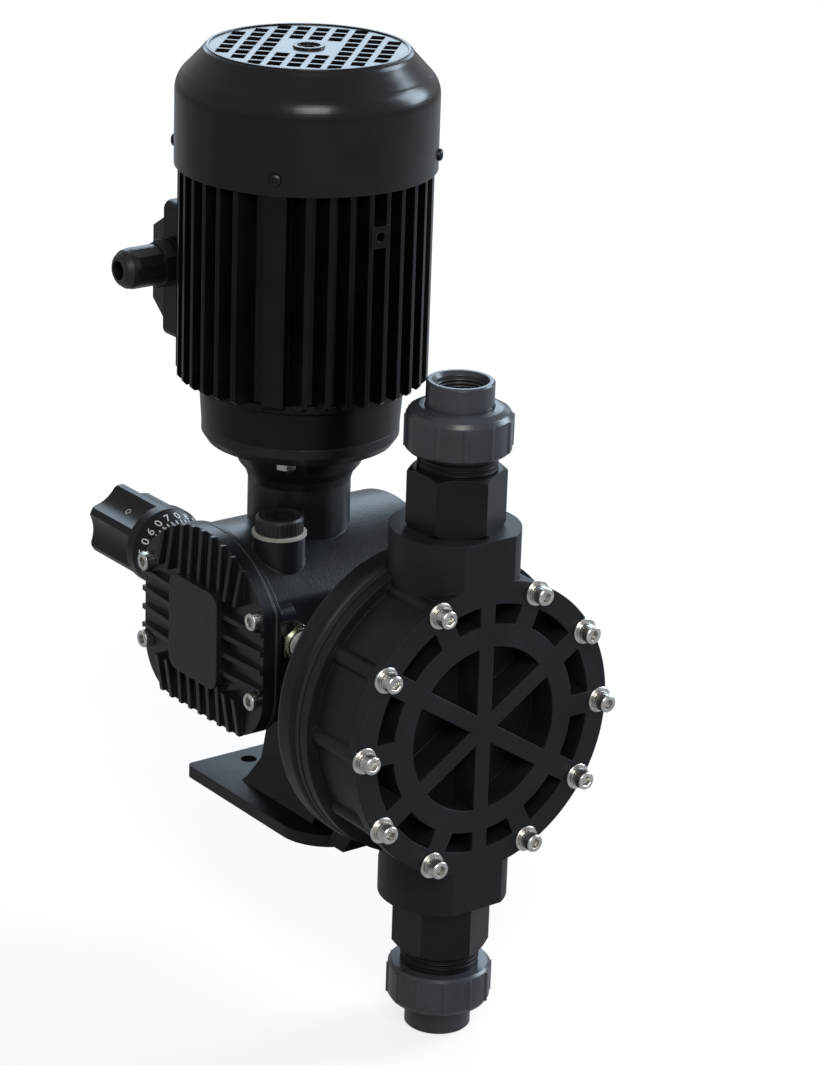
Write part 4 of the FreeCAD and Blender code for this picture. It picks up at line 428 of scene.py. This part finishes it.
# Motor
# A small flange motor: finned aluminium frame, two end shields and a pressed steel fan cowl, all in the
# maker's black enamel, smoother than the castings. The windings and the laminations stay inside.
enamel = coated("black_enamel_on_aluminium", "#07080a", "#0d0f12", (0.27, 0.38), 2.2, 0.08, 0.22, 0.6)
dress(enamel, "drive_end_shield", "motor_frame", "fan_end_shield", "terminal_box", "terminal_box_lid")
cowl_enamel = coated("satin_enamel_on_pressed_steel", "#101013", "#17171b", (0.20, 0.28), 1.8, 0.03,
                     0.36, 0.8)
dress(cowl_enamel, "fan_cowl")
dress(ground_steel, "motor_shaft", "motor_bearings")


def laminated():
    """Stacked electrical steel: thin bands along the shaft, drawn three times too thick to show."""
    sheet_mm, waves_to_scale = 1.5, 20
    material, tree, where = new_material("stacked_electrical_steel")
    bands = add_node(tree, "ShaderNodeTexWave",
                     {"Scale": 1000 / sheet_mm / waves_to_scale, "Distortion": 0.0},
                     {"Vector": where}, bands_direction="Z")
    factor, colour = patches(tree, where, 12.0, "#3c3d3f", "#565759")
    bump = add_node(tree, "ShaderNodeBump", {"Strength": 0.4, "Distance": 0.0003},
                    {"Height": bands.outputs["Fac"], "Normal": soft_edges(tree, 0.2)})
    close_material(tree, colour, spread(tree, factor, 0.4, 0.55), bump.outputs["Normal"], Metallic=1.0)
    return material


dress(laminated(), "stator_core", "rotor_core")
copper = metal("varnished_copper_wire", "#6b2d14", "#9a4a24", (0.3, 0.45), 1.2, 0.4)
dress(copper, "stator_windings")

cowl_low, cowl_high = span("fan_cowl")
screw_low, screw_high = span("cowl_screws")
motor_y = (cowl_low[1] + cowl_high[1]) / 2
cowl_r = (cowl_high[0] - cowl_low[0]) / 2
cowl_screw_z = (screw_low[2] + screw_high[2]) / 2
screw_angle = math.atan2(screw_high[0], screw_high[1] - motor_y)
pan_head = turned("pan_head", [
    (3.4, 0, 0, 0), (3.4, 0.9, 0, 0), (3.0, 1.7, 0, 0), (2.2, 2.2, 0, 0),
    (1.3, 2.4, 0, 0), (1.3, 2.4, 4, 0), (0.9, 1.2, 4, 0), (0.2, 1.1, 0, 0)], 24)
cowl_places = []
for side in (1, -1):
    for end in (1, -1):
        out = Vector((side * math.sin(screw_angle), end * math.cos(screw_angle), 0))
        cowl_places.append((out * cowl_r + Vector((0, motor_y, cowl_screw_z)), out))
blackened = metal("blackened_steel", "#2a2b2e", "#434548", (0.3, 0.42))
cowl_screws = fasten("cowl_screw_heads", pan_head, cowl_places, blackened)
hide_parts("cowl_screws")

# Terminal box
# A cast box and lid on the far side of the frame, with four screws, a moulded terminal block inside and a
# nylon cable gland with no cable in it.
dress(zinc, "lid_screws")
moulded_white = moulded("natural_ptfe", "#cfccc2", "#e4e1d8", (0.35, 0.5), 1.38)
dress(moulded_white, "terminal_block", "valve_seats")
nut_low, nut_high = span("gland_nut")
gland_y, gland_z = (nut_low[1] + nut_high[1]) / 2, (nut_low[2] + nut_high[2]) / 2
gland_rib = [(0.3, 0, 0, 0), (0.5, 1, 0, 0), (0.5, 12, 0, 0), (0.2, 13, 0, 0)]
gland_grip_r = (nut_high[1] - nut_low[1]) / 2 - 0.5
ribs("gland_nut_grip", gland_rib, 24, gland_grip_r, (nut_high[0] - 2, gland_y, gland_z), (-1, 0, 0), nylon)

# Push rod, yoke and diaphragm
# A steel yoke and rod, returned by a coil spring, with a stainless plate behind the rubber diaphragm. The
# diaphragm is rebuilt as its clamped rim and its dished middle, and the spring as one joined mesh of coils.
dress(ground_steel, "drive_yoke", "adjusting_spindle")
dress(stainless, "diaphragm_plate")
coils = bmesh.new()
coils.from_mesh(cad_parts["return_spring"].data)
bmesh.ops.remove_doubles(coils, verts=coils.verts, dist=0.000001)
coil_mesh = bpy.data.meshes.new("return_coils")
coils.to_mesh(coil_mesh)
coils.free()
coil_mesh.materials.clear()
coil_mesh.materials.append(ground_steel)
return_coils = seat("return_coils", coil_mesh, "pump")
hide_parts("return_spring")
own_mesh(return_coils)

rubber_low, rubber_high = span("diaphragm")
rubber_z = centre("diaphragm")[2]
rubber_r, rim_thick, clamp_r = (rubber_high[0] - rubber_low[0]) / 2, 3.0, 58.0
dish = rubber_high[1] - rubber_low[1] - rim_thick
plate_r = (span("diaphragm_plate")[1][0] - span("diaphragm_plate")[0][0]) / 2
rim = turned("rim", [
    (clamp_r, 0, 0, 0), (rubber_r, 0, 0, 0), (rubber_r, rim_thick, 0, 0), (clamp_r, rim_thick, 0, 0)],
    72, bored=True)
middle = turned("middle", [
    (0.2, dish, 0, 0), (plate_r, dish, 0, 0), (clamp_r, 0, 0, 0), (clamp_r, rim_thick, 0, 0),
    (plate_r, dish + rim_thick, 0, 0), (0.2, dish + rim_thick, 0, 0)], 72)
for piece_name, shape in (("diaphragm_rim", rim), ("diaphragm_middle", middle)):
    shape.data.materials.append(rubber)
    piece = seat(piece_name, shape.data, "pump")
    place_mesh(piece, (0, rubber_low[1], rubber_z), (0, 1, 0))
    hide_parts("diaphragm")
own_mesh(piece)

# Pump head
# One heavy moulding in glass-filled polypropylene, ribbed on the face. It is dull black, with the faint
# flow marks of a thick moulding.
polypropylene = moulded("glass_filled_polypropylene", "#14161a", "#1e2126", (0.40, 0.54), 1.49, 1.1,
                        0.12, 1.0, 0.26)
dress(polypropylene, "pump_head")

# Head bolts
# Ten M6 socket screws, each with a split spring washer on a flat washer, five a side of the port line.
head_front_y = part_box("pump_head")[0][1] * 1000
head_z = centre("diaphragm")[2]
flat_low, flat_high = span("head_washers")
flat_r, flat_thick = 7.2, flat_high[1] - flat_low[1]
split_thick = span("head_spring_washers")[1][1] - span("head_spring_washers")[0][1]
bolt_circle_r = (flat_high[0] - flat_low[0]) / 2 - flat_r
bolt_angles = [math.radians(s * a) for a in (24, 57, 90, 123, 156) for s in (1, -1)]


def on_bolt_circle(y):
    """Places of the ten head bolts at a depth, each with the axis it points along."""
    return [((bolt_circle_r * math.sin(a), y, head_z + bolt_circle_r * math.cos(a)),
             (0, -1, 0)) for a in bolt_angles]


flat_washer = turned("flat_washer", [
    (flat_r - 0.3, 0, 0, 0), (flat_r, 0.25, 0, 0), (flat_r, flat_thick - 0.4, 0, 0),
    (flat_r - 0.4, flat_thick, 0, 0), (3.2, flat_thick, 0, 0)], 40)
flat_washers = fasten("flat_washers", flat_washer, on_bolt_circle(head_front_y), stainless)
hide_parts("head_washers")


def split_washer(outer_r, inner_r, thick):
    """Square wire wound to just under a full turn, its two ends a little apart."""
    mesh = bmesh.new()
    sections = []
    steps, gap_degrees, total_lift = 36, 16, 0.35
    for i in range(steps + 1):
        a = math.radians(gap_degrees / 2 + (360 - gap_degrees) * i / steps)
        low_z = total_lift * i / steps
        high_z = low_z + thick - total_lift
        corners = [(inner_r, low_z), (outer_r, low_z), (outer_r, high_z), (inner_r, high_z)]
        sections.append([mesh.verts.new(Vector((r * math.cos(a), r * math.sin(a), z)) / 1000)
                         for r, z in corners])
    for low, high in zip(sections, sections[1:]):
        for i in range(4):
            mesh.faces.new((low[i], low[(i + 1) % 4], high[(i + 1) % 4], high[i]))
    mesh.faces.new(sections[0])
    mesh.faces.new(list(reversed(sections[-1])))
    bmesh.ops.recalc_face_normals(mesh, faces=mesh.faces)
    data = bpy.data.meshes.new("split_washer")
    mesh.to_mesh(data)
    mesh.free()
    return bpy.data.objects.new("split_washer", data)


split_washers = fasten("split_washers", split_washer(5.4, 3.1, split_thick),
                       on_bolt_circle(head_front_y - flat_thick), stainless, seed=9)
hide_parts("head_spring_washers")
bolt_heads = fasten("head_bolt_heads", m6_head, on_bolt_circle(head_front_y - flat_thick - split_thick),
                    stainless)
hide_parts("head_bolts")

# Valves and unions
# Black polypropylene valve bodies with a coarse neck thread, above and below, each with a union nut with
# grip lugs and a tail with a female thread. The nut and the tail are moulded PVC, blue grey with a sheen.
valve_plastic = moulded("moulded_black_polypropylene", "#0f1114", "#181a1e", (0.34, 0.48), 1.49, 1.0,
                        0.06, 0.5, 0.26)
dress(valve_plastic, "discharge_valve_body", "suction_valve_body")
pvc = moulded("moulded_rigid_pvc", "#32353b", "#40444b", (0.22, 0.34), 1.53, 0.9, 0.04, 0.9, 0.45)
dress(pvc, "discharge_union_nut", "suction_union_nut", "discharge_tail", "suction_tail")
ball_glass = clear_glass("borosilicate_glass", "#e8f0ea", 1.47)
dress(ball_glass, "discharge_ball", "suction_ball")


def thread_tree():
    """A thread: a three-cornered wire wound along a helix."""
    tree = bpy.data.node_groups.new("wound_thread", "GeometryNodeTree")
    face = tree.interface
    face.new_socket("Stock", in_out="INPUT", socket_type="NodeSocketGeometry")
    for key in ("Radius", "Height", "Turns", "Depth"):
        face.new_socket(key, in_out="INPUT", socket_type="NodeSocketFloat")
    face.new_socket("Finish", in_out="INPUT", socket_type="NodeSocketMaterial")
    face.new_socket("Thread", in_out="OUTPUT", socket_type="NodeSocketGeometry")
    given = add_node(tree, "NodeGroupInput").outputs
    helix = add_node(tree, "GeometryNodeCurveSpiral", {"Resolution": 40}, {
        "Rotations": given["Turns"], "Start Radius": given["Radius"], "End Radius": given["Radius"],
        "Height": given["Height"]})
    section = add_node(tree, "GeometryNodeCurvePrimitiveCircle", {"Resolution": 3},
                       {"Radius": given["Depth"]})
    wire = add_node(tree, "GeometryNodeCurveToMesh", {"Fill Caps": True}, {
        "Curve": helix.outputs["Curve"], "Profile Curve": section.outputs["Curve"]})
    solid = add_node(tree, "GeometryNodeRealizeInstances", links={"Geometry": wire.outputs["Mesh"]})
    done = add_node(tree, "GeometryNodeSetMaterial", links={
        "Geometry": solid.outputs["Geometry"], "Material": given["Finish"]})
    add_node(tree, "NodeGroupOutput", links={"Thread": done.outputs["Geometry"]})
    return tree


wound_thread = thread_tree()


def thread(name, radius, pitch, height, depth, origin_mm, axis, finish):
    """A thread of a radius, pitch, height and depth in millimetres, wound from an origin along an axis."""
    stock = bpy.data.objects.new(name + "_stock", bpy.data.meshes.new(name + "_stock"))
    inputs = {"Radius": radius / 1000, "Height": height / 1000, "Turns": height / pitch,
              "Depth": depth / 1000, "Finish": finish}
    piece = plain_mesh(name, stock, wound_thread, inputs, "pump")
    place_mesh(piece, origin_mm, axis)
    return piece


port_y = centre("discharge_tail")[1]
for side, port in ((1, "discharge"), (-1, "suction")):
    nut_start = span(port + "_union_nut")[0 if side > 0 else 1][2]
    tail_end = span(port + "_tail")[1 if side > 0 else 0][2]
    thread(port + "_neck_thread", 20.9, 2.6, 8.4, 0.75, (0, port_y, nut_start - side * 9.6), (0, 0, side),
           valve_plastic)
    thread(port + "_port_thread", 13.15, 1.9, 18.2, 0.95, (0, port_y, tail_end - side * 21.2), (0, 0, side),
           pvc)

# Stroke knob
# A glossy black phenolic knob on the adjuster's neck. White digits and ticks are printed round the dial
# end, and a stainless set screw sits in one flute.
phenolic = moulded("glossy_phenolic", "#0d0f13", "#15181d", (0.28, 0.38), 1.55, 1.4, 0.02, 0.7, 0.22)
dress(phenolic, "stroke_knob")
ink = moulded("white_printing_ink", "#dfe3e3", "#f4f6f6", (0.5, 0.6), 1.5)
knob_y = span("stroke_knob")[0][1]
knob_z = centre("adjuster_housing")[2]
screw_low, screw_high = span("knob_set_screw")
screw_middle = Vector(centre("knob_set_screw"))
screw_axis = (screw_middle - Vector((0, screw_middle[1], knob_z))).normalized()
screw_r = (screw_high[1] - screw_low[1]) / 2
screw_half = ((screw_high[0] - screw_low[0]) / 2 - screw_r * abs(screw_axis[2])) / abs(screw_axis[0])
half_key = 1.25
cup_point = turned("cup_point_screw", [
    (0.5 * screw_r, -screw_half, 0, 0), (screw_r, 1.2 - screw_half, 0, 0),
    (screw_r, screw_half - 0.6, 0, 0), (screw_r - 0.5, screw_half, 0, 0),
    (half_key + 0.2, screw_half, 6, 0), (half_key, screw_half - 0.2, 6, 0),
    (half_key, screw_half - 3, 6, 0), (0.2, screw_half - 3.4, 0, 0)], 36)
set_screw = fasten("set_screw", cup_point, [(screw_middle, screw_axis)], stainless, "knob")
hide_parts("knob_set_screw")
dial_near_y, dial_far_y = knob_y + 0.5, knob_y + 15.0
dial_near_r, dial_far_r = 17.5, 23.2
print_lift = 0.06
zero_angle, number_step, tick_step = math.radians(344.0), math.radians(36), math.radians(9)
digit_height, digit_foot_y = 7.0, dial_near_y + 6.9
tick_end_y, long_tick, short_tick, tick_half = dial_near_y + 5.6, 4.6, 3.2, 0.38


def dial_radius(y):
    """Radius of the print on the dial's cone, at a height along it."""
    share = (y - dial_near_y) / (dial_far_y - dial_near_y)
    return dial_near_r + share * (dial_far_r - dial_near_r) + print_lift


def on_dial(angle, y, side_mm):
    """Point on the dial at an angle round +Y, a height along it and a step round it in millimetres."""
    r = dial_radius(y)
    a = angle - side_mm / r
    return Vector((r * math.cos(a), y, knob_z + r * math.sin(a))) / 1000


def wrapped_text(words, angle, y, height_mm):
    """Digits of a height in millimetres, bent round the dial."""
    curve = bpy.data.curves.new("digits", "FONT")
    curve.body = words
    curve.size = height_mm
    curve.align_x = "CENTER"
    curve.space_character = 1.95
    curve.offset = 0.04
    text = bpy.data.objects.new("digits", curve)
    bpy.context.scene.collection.objects.link(text)
    bpy.context.view_layer.update()
    graph = bpy.context.evaluated_depsgraph_get()
    mesh = bpy.data.meshes.new_from_object(text.evaluated_get(graph), depsgraph=graph)
    bpy.data.objects.remove(text)
    work = bmesh.new()
    work.from_mesh(mesh)
    bmesh.ops.triangulate(work, faces=work.faces)
    bmesh.ops.subdivide_edges(work, edges=work.edges, cuts=1)
    for vert in work.verts:
        vert.co = on_dial(angle, y + vert.co.y, vert.co.x)
    return work


def merge(works, name):
    """One mesh from several works in progress, which end here."""
    data = bpy.data.meshes.new(name)
    whole = bmesh.new()
    for work in works:
        part = bpy.data.meshes.new("part")
        work.to_mesh(part)
        work.free()
        whole.from_mesh(part)
    whole.to_mesh(data)
    whole.free()
    return data


works = [wrapped_text(str(number * 10), zero_angle - number * number_step, digit_foot_y, digit_height)
         for number in range(10)]
marks = bmesh.new()
for tick in range(40):
    a = zero_angle - tick * tick_step
    start_y = tick_end_y - (long_tick if tick % 4 == 0 else short_tick)
    corners = [(tick_end_y, -tick_half), (tick_end_y, tick_half),
               (start_y, tick_half), (start_y, -tick_half)]
    marks.faces.new([marks.verts.new(on_dial(a, y, s)) for y, s in corners])
works.append(marks)
dial_print = merge(works, "dial_print")
dial_print.materials.append(ink)
seat("dial_print", dial_print, "knob")

# Camera
# It stands where the photograph was taken from: left of the pump head and a little above it.
focal_pixels, tall_pixels, sensor_mm = 3756.2, 1065, 36
camera = bpy.data.objects.new("camera", bpy.data.cameras.new("camera"))
bpy.context.scene.collection.objects.link(camera)
camera.data.lens = focal_pixels / tall_pixels * sensor_mm
camera.data.sensor_width = sensor_mm
camera.data.clip_end = 20
azimuth, elevation, roll = math.radians(-36.8), math.radians(20.3), math.radians(1.9)
look = Vector((math.sin(-azimuth) * math.cos(elevation), math.cos(azimuth) * math.cos(elevation),
               -math.sin(elevation)))
right = look.cross(Vector((0, 0, 1))).normalized()
upward = right.cross(look)
right_rolled = right * math.cos(roll) + upward * math.sin(roll)
up_rolled = upward * math.cos(roll) - right * math.sin(roll)
turn = Matrix((right_rolled, up_rolled, -look)).transposed().to_4x4()
stand = (-1.1216, -1.5620, 0.8674)
camera.matrix_world = Matrix.Translation(stand) @ turn
bpy.context.scene.camera = camera

# Floor and light
# A white studio table in a white room. A soft front lamp shows the shapes, and a large cool window light
# behind the pump lies in the mirror of every top.


def seen_plainly(tree, by_camera, by_mirror):
    """How much of plain white the camera sees, and a mirror or a glass; 0 for the room's light."""
    path = add_node(tree, "ShaderNodeLightPath")
    mirror = add_node(tree, "ShaderNodeMath", operation="MAXIMUM",
                      links={0: path.outputs["Is Glossy Ray"], 1: path.outputs["Is Transmission Ray"]})
    mirrored = add_node(tree, "ShaderNodeMath", {1: by_mirror}, {0: mirror.outputs[0]}, operation="MULTIPLY")
    return add_node(tree, "ShaderNodeMath", {1: by_camera},
                    {0: path.outputs["Is Camera Ray"], 2: mirrored.outputs[0]},
                    operation="MULTIPLY_ADD").outputs[0]


floor_size, floor_gap = 30, 0.0005
bpy.ops.mesh.primitive_plane_add(size=floor_size, location=(0, 0, cad_box[0][2] - floor_gap))
floor = bpy.context.object
floor.name = "floor"
white_table, tree, where = new_material("white_table")
watched = add_node(tree, "ShaderNodeLightPath").outputs["Is Camera Ray"]
tone = add_node(tree, "ShaderNodeMix", {6: linear("#a4a4a4"), 7: linear("#fafafa")}, {0: watched},
                data_type="RGBA")
table = add_node(tree, "ShaderNodeBsdfDiffuse", links={"Color": tone.outputs[2]})
plain = add_node(tree, "ShaderNodeEmission", {"Color": linear("#ffffff"), "Strength": 1.1})
mix = add_node(tree, "ShaderNodeMixShader", links={
    "Fac": seen_plainly(tree, 0.7, 0.15), 1: table.outputs["BSDF"], 2: plain.outputs["Emission"]})
# Far from the pump the camera sees plain white, so that no edge of the table shows in a low view
apart = add_node(tree, "ShaderNodeVectorMath", links={0: where}, operation="LENGTH")
far = add_node(tree, "ShaderNodeMapRange", {"From Min": 1.2, "From Max": 4.0},
               {"Value": apart.outputs["Value"]})
far_seen = add_node(tree, "ShaderNodeMath", links={0: far.outputs["Result"], 1: watched},
                    operation="MULTIPLY")
faded = add_node(tree, "ShaderNodeMixShader",
                 links={"Fac": far_seen.outputs[0], 1: mix.outputs["Shader"], 2: plain.outputs["Emission"]})
add_node(tree, "ShaderNodeOutputMaterial", links={"Surface": faded.outputs["Shader"]})
floor.data.materials.append(white_table)


def lamp(name, place, target, size, watts, colour):
    """A soft rectangular lamp at a place, pointed at a target."""
    data = bpy.data.lights.new(name, "AREA")
    data.shape = "RECTANGLE"
    data.size, data.size_y = size
    data.energy = watts
    data.color = linear(colour)[:3]
    item = bpy.data.objects.new(name, data)
    bpy.context.scene.collection.objects.link(item)
    item.location = place
    item.rotation_euler = (Vector(target) - Vector(place)).to_track_quat("-Z", "Y").to_euler()


lamp("front_lamp", (-0.9, -1.6, 1.6), (0, 0, 0.15), (0.9, 0.9), 22, "#fffaf4")
lamp("side_lamp", (1.85, -0.4, 1.1), (0, 0, 0.35), (0.9, 1.1), 34, "#dcefff")
lamp("window_light", (1.2, 1.7, 1.25), (0, 0, 0.3), (2.0, 1.0), 23, "#d4ebff")
world = bpy.data.worlds.new("room")
bpy.context.scene.world = world
world.use_nodes = True
world.node_tree.nodes.clear()
room_glow = add_node(world.node_tree, "ShaderNodeBackground", {"Color": linear("#eef1f5"), "Strength": 0.3})
room_seen = add_node(world.node_tree, "ShaderNodeBackground", {"Color": linear("#ffffff"), "Strength": 1.0})
room_mix = add_node(world.node_tree, "ShaderNodeMixShader", links={
    "Fac": seen_plainly(world.node_tree, 1.0, 0.2), 1: room_glow.outputs["Background"],
    2: room_seen.outputs["Background"]})
add_node(world.node_tree, "ShaderNodeOutputWorld", links={"Surface": room_mix.outputs["Shader"]})
bpy.context.scene.view_settings.view_transform = "Standard"
